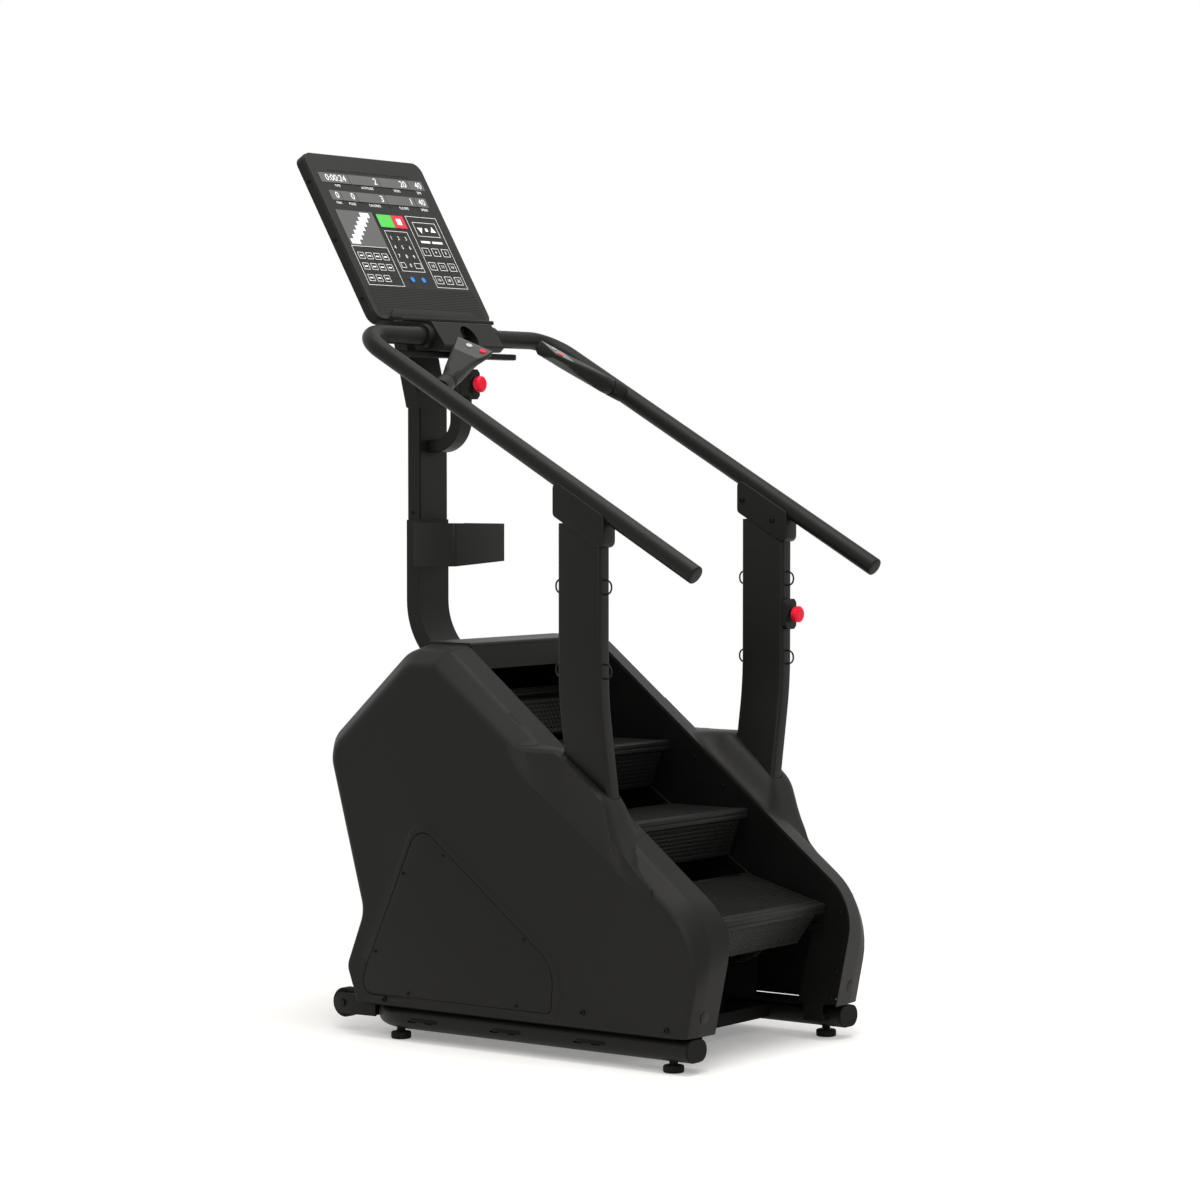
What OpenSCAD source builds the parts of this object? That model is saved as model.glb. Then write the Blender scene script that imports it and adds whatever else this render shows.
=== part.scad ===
// Stair climber with a moving flight, tall handrails and a leaning console.
// X to the user's right, Y forward to the console, Z up; the flight is entered from -Y.

/* [Base] */
// Distance from a side cover's inner face to the base tube's axis
tube_off = 61; // [50:1:74]
// Width of the flat-oval base tube
tube_w = 74; // [56:1:84]
// Height of the flat-oval base tube
tube_h = 50; // [40:1:56]
// Wall of the base tube
tube_wall = 3; // [2:0.5:5]
// Height of the tube's underside above the floor
tube_z = 26; // [20:1:32]
// Rear end of the base tube, measured from the rear feet
tube_rear = 58; // [40:1:64]
// Distance between front and rear feet
feet_l = 761; // [680:1:780]
// Diameter of a levelling foot
foot_d = 48; // [36:1:60]
// Thickness of a foot's disc
foot_t = 12; // [8:1:16]
// Diameter of a foot's stud
stud_d = 12; // [8:1:16]
// Radius of the base tube's front bends
bend_r = 120; // [90:1:140]
// Diameter of a transport wheel
wheel_d = 68; // [56:1:76]
// Width of a transport wheel
wheel_w = 26; // [18:1:32]
// Diameter of the wheel pin
wheel_pin_d = 12; // [8:1:16]

/* [Flight] */
// Slope of the flight
flight_deg = 33.56; // [30:0.5:36]
// Distance between steps along the chain
step_pitch = 264; // [240:1:270]
// Width of a step
step_w = 436; // [400:2:440]
// Depth of a tread
tread_l = 215; // [190:1:220]
// Thickness of a tread behind its nosing
tread_t = 18; // [14:1:24]
// Height of the nosing
nosing_h = 23; // [20:1:28]
// Height of a riser
riser_h = 110; // [90:1:116]
// Thickness of a riser
riser_t = 8; // [5:0.5:12]
// Nose-down tilt of the lowest step
low_tilt = 15; // [8:0.5:18]
// Nose-up tilt of the highest step
high_tilt = 46.8; // [40:0.5:50]
// Diameter of a step's rod
rod_d = 12; // [8:1:14]
// Pitch radius of the sprockets
sprocket_r = 100; // [94:1:104]
// Width of a step chain
chain_w = 12; // [8:1:13]
// Height of a step chain
chain_h = 16; // [10:1:18]
// Diameter of the drive shaft
shaft_d = 30; // [20:1:40]
// Diameter of an upper stub axle
stub_d = 25; // [16:1:32]

/* [Body] */
// Room between a step's end and a side cover's inner face
end_room = 22; // [20:1:26]
// Depth of a side cover across its flat face
cover_d = 102; // [90:1:110]
// Wall of the covers
wall = 4; // [3:0.5:6]
// Underside of the side covers
cover_z = 80; // [79:1:90]
// Top of the side covers
cover_top = 898; // [890:1:904]
// Thickness of a side frame plate
frame_t = 4; // [3:0.5:7]
// Thickness of an access panel
panel_t = 5; // [3:0.5:8]

/* [Posts and rails] */
// Distance from a side cover's outer face to the handrail's axis
rail_off = 12; // [4:1:18]
// Diameter of the handrail
rail_d = 42; // [34:1:46]
// Wall of the handrail
rail_wall = 3; // [2:0.5:5]
// Slope of the handrail
rail_deg = 29.6; // [27:0.2:31]
// Height of the handrail's lower end
rail_end_z = 1073; // [1040:1:1090]
// Distance along the slope from the lower end to the cross tube
rail_l = 1071; // [1050:1:1090]
// Radius of the handrail's bends
rail_bend = 78; // [60:1:100]
// Depth of a post
post_l = 114; // [100:1:120]
// Thickness of a post
post_t = 41; // [32:1:44]
// Middle of a post, measured from the rear feet
post_y = 202; // [196:1:208]
// Height where the post leans in
post_knee = 800; // [770:1:830]
// Inward lean of the post's foot
post_lean = 10; // [6:0.5:11]
// Depth of a post collar
collar_l = 138; // [130:1:144]
// Thickness of a post collar
collar_t = 46; // [44:1:54]
// Wire of a band loop
loop_wire = 5; // [3:0.5:6]
// Height of a band loop
loop_h = 35; // [26:1:40]
// Reach of a band loop
loop_reach = 20; // [14:1:24]
// Diameter of a control pod
pod_d = 42; // [36:1:46]
// Diameter of a pod key
key_d = 15; // [10:1:17]
// Travel of a pod key
key_travel = 1.5; // [1:0.1:2]

/* [Mast] */
// Width of the mast
mast_w = 110; // [90:1:120]
// Depth of the mast
mast_t = 38; // [32:1:44]
// Distance from the cross tube to the mast's rear face
mast_gap = 68.8; // [60:0.1:78]
// Height of the joint between the mast's two lengths
mast_joint = 1175; // [1150:1:1200]
// Drop from the cross tube to where the mast starts to lean forward
lean_drop = 162; // [140:1:180]
// Bend radius at the mast's foot
mast_bend = 160; // [140:1:180]
// Width of the accessory holder
holder_w = 192; // [160:1:210]
// Height of the accessory holder
holder_h = 102; // [80:1:120]
// Depth of the accessory holder
holder_l = 139; // [110:1:150]
// Sheet thickness of the accessory holder
holder_t = 3; // [2:0.5:5]
// Width of the curved console support
support_w = 47; // [36:1:60]
// Thickness of the curved console support
support_t = 30; // [24:1:36]

/* [Console] */
// Width of the console
console_w = 430; // [400:1:450]
// Length of the console along its slope
console_l = 458; // [430:1:470]
// Thickness of the console housing
console_t = 24; // [20:1:30]
// Thickness of the console face
face_t = 5; // [4:0.5:7]
// Lean of the console from upright
console_deg = 30.3; // [26:0.5:34]
// Corner radius of the console
console_r = 26; // [12:1:40]
// Width of the neck block
neck_w = 222; // [200:1:240]
// Height of the neck block
neck_h = 68; // [62:1:74]
// Diameter of the fan opening
fan_d = 52; // [44:1:60]
// Diameter of the fan's pin
fan_pin_d = 6; // [4:0.5:8]
// Diameter of a stop-switch head
stop_d = 38; // [30:1:44]
// Travel of a stop-switch head
stop_travel = 5; // [3:0.5:6]
// Diameter of a stop-switch stem
stop_stem_d = 16; // [12:1:20]

/* [Fits] */
// Radial clearance of a turning shaft
run_clear = 0.05; // [0.02:0.01:0.1]
// Clearance between moving faces
move_clear = 0.4; // [0.3:0.05:0.6]
// Clearance of a piece seated in a socket
seat_clear = 0.2; // [0.1:0.05:0.3]

/* [Hidden] */
$fn = 48;
eps = 0.01;

// Widths follow from the step between the side frames
cover_in = step_w / 2 + end_room;
cover_out = cover_in + cover_d;
tube_x = cover_in + tube_off;
rail_x = cover_out + rail_off;

// Rails and the cross tube
rail_end_y = -92;
rail_c = cos(rail_deg);
rail_s = sin(rail_deg);
cross_y = rail_end_y + rail_l * rail_c;
cross_z = rail_end_z + rail_l * rail_s;
mast_y = cross_y + mast_gap;
mast_lean_z = cross_z - lean_drop;
mast_foot = [774, 765.8];
function rail_z(y) = rail_end_z + (y - rail_end_y) * rail_s / rail_c;

// Console plane: its lower front edge stands behind and above the cross tube
console_y = cross_y + 60;
console_z = cross_z + 39;
slab_t = console_t + face_t;

// Extent along Y, so that the part's middle stands over the origin
y_min = rail_end_y - (rail_d / 2 - 3) * rail_s - 4 * rail_c;
y_max = console_y + console_l * sin(console_deg) + slab_t * cos(console_deg);
mid_y = (y_min + y_max) / 2;

// Flight: unit vectors down the slope and out of it
run_u = [-cos(flight_deg), -sin(flight_deg)];
run_n = [-sin(flight_deg), cos(flight_deg)];
nose_2 = [161, 519];
nose_3 = nose_2 - step_pitch * run_u;
rod_at = [tread_l + 10, -8];
rod_2 = nose_2 + rod_at;
rod_3 = nose_3 + rod_at;
rod_1 = rod_2 + step_pitch * run_u;
upper_lead = 60;
upper_c = rod_3 - upper_lead * run_u - sprocket_r * run_n;
loop_steps = 7;
chain_l = (loop_steps * step_pitch - 2 * PI * sprocket_r) / 2;
lower_c = upper_c + chain_l * run_u;
high_arc = (step_pitch - upper_lead) / sprocket_r * 180 / PI;
rod_4 = upper_c + sprocket_r * (run_n * cos(high_arc) - run_u * sin(high_arc));
back_top = upper_c - sprocket_r * run_n;
arc_l = PI * sprocket_r;
back_5 = 2 * step_pitch - upper_lead - arc_l;
back_6 = back_5 + step_pitch;
low_arc = (back_6 + step_pitch - chain_l) / sprocket_r * 180 / PI;
rod_5 = back_top + back_5 * run_u;
rod_6 = back_top + back_6 * run_u;
rod_7 = lower_c - sprocket_r * (run_n * cos(low_arc) - run_u * sin(low_arc));
step_x = step_w / 2;
chain_x = step_x + move_clear;
frame_x = cover_in - frame_t;
hub_x = chain_x + chain_w;

// Motor and belt
motor_y = 585;
motor_z = 168;
motor_d = 150;
motor_l = 250;
belt_x = cover_in + 22;
belt_w = 20;
belt_t = 3;
big_r = 70;
small_r = 26;

// Front of the base tube, and the covers' toe above it
front_y = feet_l - 38;
toe_y = front_y + bend_r + 25;

// Cover outline at its inner face: [y, z, corner radius]
bump_r = 112;
outline_c = [420, cover_z];
outline = rounded([
  [-66, cover_z, 4], [-116, 318, bump_r], [613, cover_top, 14], [737, cover_top, 80],
  [toe_y + 114, 672, 60], [toe_y - 6, 272, 70], [toe_y + 33, 160, 45], [toe_y, cover_z, 8]
]);
shoulder = 0.59 * cover_d;
shoulder_k = [0.992, 0.985];
rim_k = [0.978, 0.935];

// Post, collar and pod positions
post_top = rail_z(post_y) - 60;
collar_drop = 84;
pod_y = 606;
pod_in = 128;
pod_end = [pod_in, pod_y + 64, rail_z(pod_y) + 94];
pod_root = [rail_x, pod_y, rail_z(pod_y)];
pod_v = pod_end - pod_root;
pod_len = norm(pod_v);
pod_yaw = atan2(pod_v[1], pod_v[0]);
pod_pitch = asin(pod_v[2] / pod_len);
pod_flat = 6;
support_y = cross_y - 14;
neck_y0 = cross_y - 57;
neck_y1 = cross_y + 33;
fan_y = neck_y0 + 40;
neck_z0 = cross_z - neck_h / 2;
box_h = 70;
box_w = 44;
box_t = 24;
stop_z = cross_z - 110;
rear_stop_z = 960;
tube_zc = tube_z + tube_h / 2;

function unit(v) = v / norm(v);

function arc_at(p, q, s, r, n = 8) =
  let (a = unit(p - q), b = unit(s - q), h = acos(a * b) / 2, c = q + unit(a + b) * r / sin(h))
  let (u0 = q + a * r / tan(h) - c, u1 = q + b * r / tan(h) - c)
  let (a0 = atan2(u0[1], u0[0]), d0 = atan2(u1[1], u1[0]) - a0)
  let (d = d0 > 180 ? d0 - 360 : d0 < -180 ? d0 + 360 : d0)
  [for (i = [0:n]) c + r * [cos(a0 + d * i / n), sin(a0 + d * i / n)]];

function xy(p) = [p[0], p[1]];

function rounded(pts, n = 8) =
  [for (i = [0:len(pts) - 1])
    let (p = pts[(i + len(pts) - 1) % len(pts)], q = pts[i], s = pts[(i + 1) % len(pts)])
    each q[2] == 0 ? [xy(q)] : arc_at(xy(p), xy(q), xy(s), q[2], n)];

module placed() {
  translate([0, -mid_y, 0]) children();
}

module both() {
  children();
  mirror([1, 0, 0]) children();
}

// A YZ drawing carried along X
module yz(x0, w) {
  translate([x0, 0, 0]) rotate([90, 0, 90]) linear_extrude(w) children();
}

// A round bar along X
module bar_x(x0, x1, p, d) {
  translate([x0, p[0], p[1]]) rotate([0, 90, 0]) cylinder(d = d, h = x1 - x0);
}

module oval(w, h) {
  square([w - h, h], center = true);
  for (s = [-1, 1]) translate([s * (w - h) / 2, 0]) circle(d = h);
}

module round_rect(w, h, r) {
  square([w - 2 * r, h], center = true);
  square([w, h - 2 * r], center = true);
  for (i = [-1, 1]) for (j = [-1, 1]) translate([i * (w / 2 - r), j * (h / 2 - r)]) circle(r);
}

module tube_path(w, h) {
  both() {
    translate([tube_x, -tube_rear, tube_zc]) rotate([-90, 0, 0]) linear_extrude(front_y + tube_rear)
      oval(w, h);
    translate([tube_x - bend_r, front_y, tube_zc]) rotate_extrude(angle = 90) translate([bend_r, 0])
      oval(w, h);
    translate([-eps, front_y + bend_r, tube_zc]) rotate([90, 0, 90])
      linear_extrude(tube_x - bend_r + eps) oval(w, h);
  }
}

module feet_at() {
  for (y = [0, feet_l]) for (s = [-1, 1]) translate([s * tube_x, y, 0]) children();
}

module base_frame() {
  color("#2b2b2a") placed() difference() {
    tube_path(tube_w, tube_h);
    tube_path(tube_w - 2 * tube_wall, tube_h - 2 * tube_wall);
    feet_at() cylinder(d = stud_d + 2 * seat_clear, h = tube_zc);
    both() for (y = [195, 428, 664]) for (k = [-1, 1]) {
      translate([tube_x, y + k * 24, tube_zc - 6]) cube([tube_w, 24, 4]);
    }
  }
}

module base_end_caps() {
  color("#1c1c1c") placed() both() translate([tube_x, -tube_rear, tube_zc]) {
    rotate([90, 0, 0]) linear_extrude(4) oval(tube_w, tube_h);
    rotate([-90, 0, 0]) linear_extrude(20)
      oval(tube_w - 2 * tube_wall - 2 * seat_clear, tube_h - 2 * tube_wall - 2 * seat_clear);
  }
}

module beam(y, h) {
  difference() {
    translate([-tube_x, y, tube_zc - h / 2]) cube([2 * tube_x, 36, h]);
    translate([-tube_x - 1, y + 3, tube_zc - h / 2 + 3]) cube([2 * tube_x + 2, 30, h - 6]);
    both() translate([tube_x, -tube_rear, tube_zc]) rotate([-90, 0, 0])
      linear_extrude(front_y + tube_rear) {
      oval(tube_w + 2 * seat_clear, tube_h + 2 * seat_clear);
      translate([tube_w / 2, 0]) square([tube_w, 2 * tube_h], center = true);
    }
    translate([-30, y - 1, tube_zc - 4]) cube([60, 5, 8]);
  }
}

module cross_beams() {
  color("#242424") placed() {
    beam(136, 30);
    beam(motor_y - 18, 30);
    translate([-100, motor_y - 60, tube_zc + 15]) cube([200, 120, 8]);
    translate([-100, motor_y - 70, tube_zc + 15]) cube([200, 14, motor_z - tube_zc - 72]);
    translate([-100, motor_y + 56, tube_zc + 15]) cube([200, 14, motor_z - tube_zc - 72]);
  }
}

module levelling_feet() {
  color("#161616") placed() feet_at() {
    cylinder(d = foot_d, h = foot_t * 0.6);
    translate([0, 0, foot_t * 0.6]) cylinder(d1 = foot_d, d2 = foot_d * 0.5, h = foot_t * 0.4);
    cylinder(d = stud_d, h = tube_z + 14);
    translate([0, 0, tube_z - 8]) cylinder(d = stud_d * 1.8, h = 8 - seat_clear, $fn = 6);
  }
}

wheel_c = [front_y + bend_r + tube_w / 2 + 66, 63];

module wheel() {
  rotate([0, 90, 0]) difference() {
    union() {
      cylinder(d = wheel_d, h = wheel_w, center = true);
      cylinder(d = wheel_d * 0.5, h = wheel_w + 4, center = true);
    }
    cylinder(d = wheel_pin_d + 2 * run_clear, h = wheel_w + 10, center = true);
    for (s = [-1, 1]) translate([0, 0, s * (wheel_w / 2)]) difference() {
      cylinder(d = wheel_d * 0.76, h = 8, center = true);
      cylinder(d = wheel_d * 0.5, h = 12, center = true);
    }
  }
}

wheel_x = tube_x - 30;

module wheel_left() {
  color("#171717") placed() translate([-wheel_x, wheel_c[0], wheel_c[1]]) wheel();
}

module wheel_right() {
  color("#171717") placed() translate([wheel_x, wheel_c[0], wheel_c[1]]) wheel();
}

module wheel_arm(x) {
  y0 = front_y + bend_r + tube_w / 2;
  yz(x, 5) {
    translate(wheel_c) circle(d = 30);
    polygon([[y0, tube_zc - 12], [wheel_c[0], wheel_c[1] - 15], [wheel_c[0], wheel_c[1] + 15],
      [y0, tube_zc + 14]]);
  }
}

module wheel_brackets() {
  arm_gap = wheel_w / 2 + 2 + move_clear;
  y0 = front_y + bend_r + tube_w / 2;
  color("#2b2b2a") placed() both() difference() {
    union() {
      wheel_arm(wheel_x + arm_gap);
      wheel_arm(wheel_x - arm_gap - 5);
      bar_x(wheel_x - arm_gap - 9, wheel_x + arm_gap + 9, wheel_c, wheel_pin_d);
      bar_x(wheel_x + arm_gap + 5, wheel_x + arm_gap + 9, wheel_c, wheel_pin_d * 1.6);
      bar_x(wheel_x - arm_gap - 9, wheel_x - arm_gap - 5, wheel_c, wheel_pin_d * 1.6);
      translate([wheel_x - arm_gap - 5, y0 - 50, tube_zc - 12]) cube([2 * arm_gap + 10, 56, 24]);
    }
    tube_path(tube_w + 2 * seat_clear, tube_h + 2 * seat_clear);
  }
}

module frame_plate() {
  difference() {
    yz(frame_x, frame_t) difference() {
      offset(delta = -wall - seat_clear) polygon(outline);
      polygon([[-5, 250], [36, cover_z], [150, cover_z], [150, 180], [70, 250]]);
    }
    bar_x(frame_x - 1, cover_in + 1, lower_c, shaft_d + 6);
    bar_x(frame_x - 1, cover_in + 1, upper_c, stub_d + 2 * seat_clear);
    bar_x(frame_x - 1, cover_in + 1, [motor_y, motor_z], 60);
  }
  for (y = [-30, 240, 500, 690]) {
    difference() {
      translate([frame_x, y, tube_zc - 8]) cube([tube_x - frame_x, 50, 16]);
      tube_path(tube_w + 2 * seat_clear, tube_h + 2 * seat_clear);
    }
    translate([frame_x, y, tube_zc + 8 - eps]) cube([frame_t, 50, cover_z + 20 - tube_zc]);
  }
}

module side_frame_left() {
  color("#202020") placed() mirror([1, 0, 0]) frame_plate();
}

module side_frame_right() {
  color("#202020") placed() frame_plate();
}

module drive_shaft() {
  color("#9a9a98") placed() {
    bar_x(-cover_in - 14, belt_x + belt_w / 2 + 8, lower_c, shaft_d);
  }
}

// Toothed wheel that stays inside the chain band
module sprocket(bore) {
  teeth = 24;
  tip = sprocket_r - chain_h / 2 - move_clear;
  difference() {
    linear_extrude(8, center = true) difference() {
      polygon([for (i = [0:teeth * 4 - 1])
        let (r = i % 4 < 2 ? tip : tip - 7, a = (i + (i % 2 == 0 ? 0.2 : -0.2)) * 90 / teeth)
        [r * cos(a), r * sin(a)]]);
      for (a = [0:60:300]) rotate(a) translate([tip * 0.6, 0]) circle(d = tip * 0.3);
    }
    cylinder(d = bore, h = 20, center = true);
  }
}

module drive_sprockets() {
  color("#6d6d6b") placed() both() translate([chain_x + chain_w / 2, lower_c[0], lower_c[1]])
    rotate([0, 90, 0]) {
    sprocket(shaft_d + 2 * seat_clear);
  }
}

module stub_axles() {
  color("#9a9a98") placed() both() {
    bar_x(chain_x, cover_in + 8, upper_c, stub_d);
    bar_x(cover_in + seat_clear, cover_in + 8, upper_c, stub_d * 2);
  }
}

module upper_sprockets() {
  color("#6d6d6b") placed() both() translate([chain_x + chain_w / 2, upper_c[0], upper_c[1]])
    rotate([0, 90, 0]) {
    sprocket(stub_d + 2 * run_clear);
  }
}

module shaft_bearings() {
  color("#4a4a49") placed() both() difference() {
    union() {
      bar_x(cover_in + seat_clear, cover_in + 5, lower_c, shaft_d * 2.4);
      bar_x(cover_in + seat_clear, cover_in + 10, lower_c, shaft_d * 1.7);
    }
    bar_x(cover_in - 1, cover_in + 12, lower_c, shaft_d + 2 * run_clear);
  }
}

// Outline of a band round two wheels
function loop_pts(a, b, ra, rb, n = 24) =
  let (ang = atan2(b[1] - a[1], b[0] - a[0]), k = acos((ra - rb) / norm(b - a)))
  concat(
    [for (i = [0:n]) let (t = ang + k + (360 - 2 * k) * i / n) a + ra * [cos(t), sin(t)]],
    [for (i = [0:n]) let (t = ang - k + 2 * k * i / n) b + rb * [cos(t), sin(t)]]
  );

module step_chains() {
  ro = sprocket_r + chain_h / 2;
  ri = sprocket_r - chain_h / 2;
  color("#3a3a39") placed() both() yz(chain_x, chain_w) difference() {
    polygon(loop_pts(lower_c, upper_c, ro, ro));
    polygon(loop_pts(lower_c, upper_c, ri, ri));
  }
}

// One step drawn with its nose at the origin; fold lays the riser under the tread
module step_shape(fold) {
  difference() {
    union() {
      yz(-step_x, step_w) {
        polygon([[2, 0], [tread_l, 0], [tread_l, -tread_t], [28, -tread_t], [24, -nosing_h],
          [2, -nosing_h], [0, -nosing_h + 3], [0, -2]]);
      }
      translate([0, tread_l - 12, 0]) for (s = [-1, 0, 1]) {
        translate([s * (step_x - 20) - 12, 0, -tread_t]) cube([24, 22, tread_t - 1]);
      }
      bar_x(-step_x, step_x, rod_at, rod_d);
      if (fold) yz(-step_x + 6, step_w - 12) {
        polygon([[10, -nosing_h + 1], [10, -nosing_h - 10], [10 + riser_h * 0.9, -nosing_h - 10],
          [10 + riser_h * 0.9, -nosing_h - 10 + riser_t], [22, -nosing_h - 10 + riser_t],
          [22, -nosing_h + 1]]);
      }
      if (!fold) yz(-step_x + 4, step_w - 8) {
        polygon([[14, -nosing_h + 1], [16 + riser_h * 0.28, -riser_h],
          [16 + riser_h * 0.28 + riser_t, -riser_h], [16 + riser_t + 2, -nosing_h + 1]]);
      }
    }
    for (i = [0:9]) translate([-step_x - 1, 36 + i * (tread_l - 60) / 10, -1.2]) cube([step_w + 2, 5, 3]);
    translate([-step_x - 1, 14, -1]) cube([step_w + 2, 3, 3]);
  }
}

// Puts a step's rod on the chain with the step turned by a about X
module step_on(p, a, fold = false) {
  color("#343433") placed() translate([0, p[0], p[1]]) rotate([a, 0, 0]) {
    translate([0, -rod_at[0], -rod_at[1]]) step_shape(fold);
  }
}

module step_1() {
  step_on(rod_1, low_tilt);
}

module step_2() {
  step_on(rod_2, 0);
}

module step_3() {
  step_on(rod_3, 0);
}

module step_4() {
  step_on(rod_4, -high_tilt);
}

module step_5() {
  step_on(rod_5, 180 + flight_deg, true);
}

module step_6() {
  step_on(rod_6, 180 + flight_deg, true);
}

module step_7() {
  step_on(rod_7, 180 + flight_deg - low_arc * 0.4, true);
}

module drive_motor() {
  color("#55585a") placed() difference() {
    union() {
      bar_x(-motor_l / 2 - 20, motor_l / 2, [motor_y, motor_z], motor_d);
      bar_x(motor_l / 2 - 1, motor_l / 2 + 14, [motor_y, motor_z], motor_d * 0.5);
      translate([-90, motor_y - 55, tube_zc + 23 + seat_clear]) cube([180, 110, 30]);
      for (i = [0:6]) bar_x(-100 + i * 28, -92 + i * 28, [motor_y, motor_z], motor_d + 6);
    }
    bar_x(motor_l / 2 - 60, belt_x, [motor_y, motor_z], 18 + 2 * run_clear);
  }
}

module motor_pulley() {
  color("#8b8d8e") placed() {
    bar_x(motor_l / 2 - 50, belt_x, [motor_y, motor_z], 18);
    bar_x(belt_x - belt_w / 2, belt_x + belt_w / 2, [motor_y, motor_z], 2 * small_r - 2 * move_clear);
    bar_x(belt_x + belt_w / 2 + move_clear, belt_x + belt_w / 2 + 4, [motor_y, motor_z], 2 * small_r + 6);
    bar_x(belt_x + belt_w / 2 - 1, belt_x + belt_w / 2 + 2, [motor_y, motor_z], 2 * small_r - 4);
  }
}

module drive_pulley() {
  color("#8b8d8e") placed() difference() {
    union() {
      bar_x(belt_x - belt_w / 2, belt_x + belt_w / 2, lower_c, 2 * big_r - 2 * move_clear);
      bar_x(belt_x + belt_w / 2 - 1, belt_x + belt_w / 2 + 5, lower_c, shaft_d * 2);
    }
    bar_x(belt_x - belt_w, belt_x + belt_w, lower_c, shaft_d + 2 * seat_clear);
    for (a = [0:60:300]) bar_x(belt_x - belt_w, belt_x + belt_w, lower_c + 46 * [cos(a), sin(a)], 24);
  }
}

module drive_belt() {
  m = [motor_y, motor_z];
  color("#151515") placed() yz(belt_x - belt_w / 2, belt_w) difference() {
    polygon(loop_pts(lower_c, m, big_r + belt_t, small_r + belt_t));
    polygon(loop_pts(lower_c, m, big_r, small_r));
  }
}

module controller_box() {
  color("#3c3f41") placed() {
    translate([-frame_x + seat_clear, toe_y - 178, 130]) cube([60, 150, 110]);
    for (i = [0:6]) translate([-frame_x + 58, toe_y - 168 + i * 20, 140]) cube([14, 6, 90]);
  }
}

module power_inlet() {
  y = toe_y + 25;
  color("#111111") placed() difference() {
    union() {
      translate([-150, y - 24, 108]) cube([52, 42, 40]);
    }
    translate([-142, y + 4, 116]) cube([36, 30, 24]);
  }
}

// The cover as a drafted solid, k in millimetres inside the outer skin
module cover_solid(k) {
  w = cover_out - cover_in;
  translate([cover_in, outline_c[0], outline_c[1]]) rotate([90, 0, 90]) {
    linear_extrude(shoulder, scale = shoulder_k, slices = 1) {
      offset(delta = -k) translate(-outline_c) polygon(outline);
    }
    translate([0, 0, shoulder - eps]) {
      linear_extrude(w - shoulder - k, slices = 1,
        scale = [rim_k[0] / shoulder_k[0], rim_k[1] / shoulder_k[1]]) {
        scale(shoulder_k) offset(delta = -k) translate(-outline_c) polygon(outline);
      }
    }
  }
}

// Raised saddle round a post's foot
module saddle() {
  line = function(y) 410 + 0.797 * y;
  hull() {
    yz(cover_in + 10, 90) {
      polygon([[400, line(400) - 26], [96, line(96) - 26], [150, line(150) - 70], [400, line(400) - 70]]);
    }
    yz(cover_in + 58, 58) polygon([[372, 686], [276, 686], [252, 676], [150, 592], [134, 574],
      [126, 520], [200, 520], [370, 640]]);
    yz(cover_in + 60, 66) polygon([[330, 676], [268, 676], [248, 668], [152, 584], [138, 568],
      [130, 520], [200, 510], [330, 610]]);
    yz(cover_out - 16, 12) polygon([[96, 470], [170, 400], [400, 560], [430, 650]]);
  }
}

module post_slab(grow, ext = 0) {
  w = post_t + 2 * grow;
  l = post_l + 2 * grow;
  foot = 345;
  translate([rail_x, post_y, post_knee]) {
    linear_extrude(post_top - post_knee + ext) round_rect(w, l, 10 + min(grow, 0));
    rotate([0, post_lean, 0]) translate([0, 0, -foot - ext]) linear_extrude(foot + ext + 3)
      round_rect(w, l, 10 + min(grow, 0));
  }
}

module side_cover() {
  difference() {
    union() {
      difference() {
        cover_solid(0);
        translate([-eps, 0, 0]) cover_solid(wall);
      }
      difference() {
        saddle();
        translate([-wall, 0, -8]) saddle();
        translate([cover_in - 10, 0, 0]) cube([10, 1000, 1000]);
      }
    }
    post_slab(2);
    panel_cut(seat_clear);
  }
}

panel_pts = rounded([[674, 500, 40], [292, 208, 90], [300, 103, 14], [toe_y - 2, 103, 26],
  [toe_y - 20, 168, 60]]);

module panel_cut(grow) {
  yz(cover_out - panel_t + 1, 30) offset(delta = grow) polygon(panel_pts);
}

module side_cover_left() {
  color("#262625") placed() mirror([1, 0, 0]) side_cover();
}

module side_cover_right() {
  color("#262625") placed() side_cover();
}

module access_panel() {
  difference() {
    union() {
      yz(cover_out - panel_t + 1, panel_t - 2) polygon(panel_pts);
      yz(cover_out - panel_t + 1, panel_t) offset(delta = -14) polygon(panel_pts);
    }
  }
}

module access_panel_left() {
  color("#2a2a29") placed() mirror([1, 0, 0]) access_panel();
}

module access_panel_right() {
  color("#2a2a29") placed() access_panel();
}

module top_cap() {
  z = cover_top - wall - seat_clear;
  color("#2a2a29") placed() {
    yz(-cover_in + 0.5, 2 * cover_in - 1) polygon(rounded([[606, z, 2], [744, z, 0], [738, z + 9, 4],
      [604, z + 9, 6]], 4));
    yz(-frame_x + seat_clear, 2 * frame_x - 2 * seat_clear) {
      polygon([[604, 842], [612, 842], [620, z + 1], [606, z + 1]]);
    }
  }
}

module front_cover() {
  color("#262625") placed() difference() {
    yz(-cover_in + 1, 2 * cover_in - 2) intersection() {
      difference() {
        polygon(outline);
        offset(delta = -wall) polygon(outline);
      }
      polygon([
        [748, 1000], [748, 840], [toe_y - 38, 700], [toe_y - 38, cover_z + wall + 2],
        [toe_y + 132, cover_z + wall + 2], [toe_y + 132, 1000]
      ]);
    }
    mast_tube(3);
    translate([-150 - seat_clear, toe_y - 8, 108 - seat_clear])
      cube([52 + 2 * seat_clear, 60, 40 + 2 * seat_clear]);
  }
}

module post_foot() {
  translate([cover_in + seat_clear, post_y - 50, 462]) cube([60, 100, 12]);
  translate([cover_in + seat_clear, post_y - 50, 425]) cube([10, 100, 48]);
}

module post_one() {
  difference() {
    post_slab(0);
    post_slab(-3, 2);
  }
  post_foot();
}

module post_left() {
  color("#2b2b2a") placed() mirror([1, 0, 0]) post_one();
}

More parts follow.
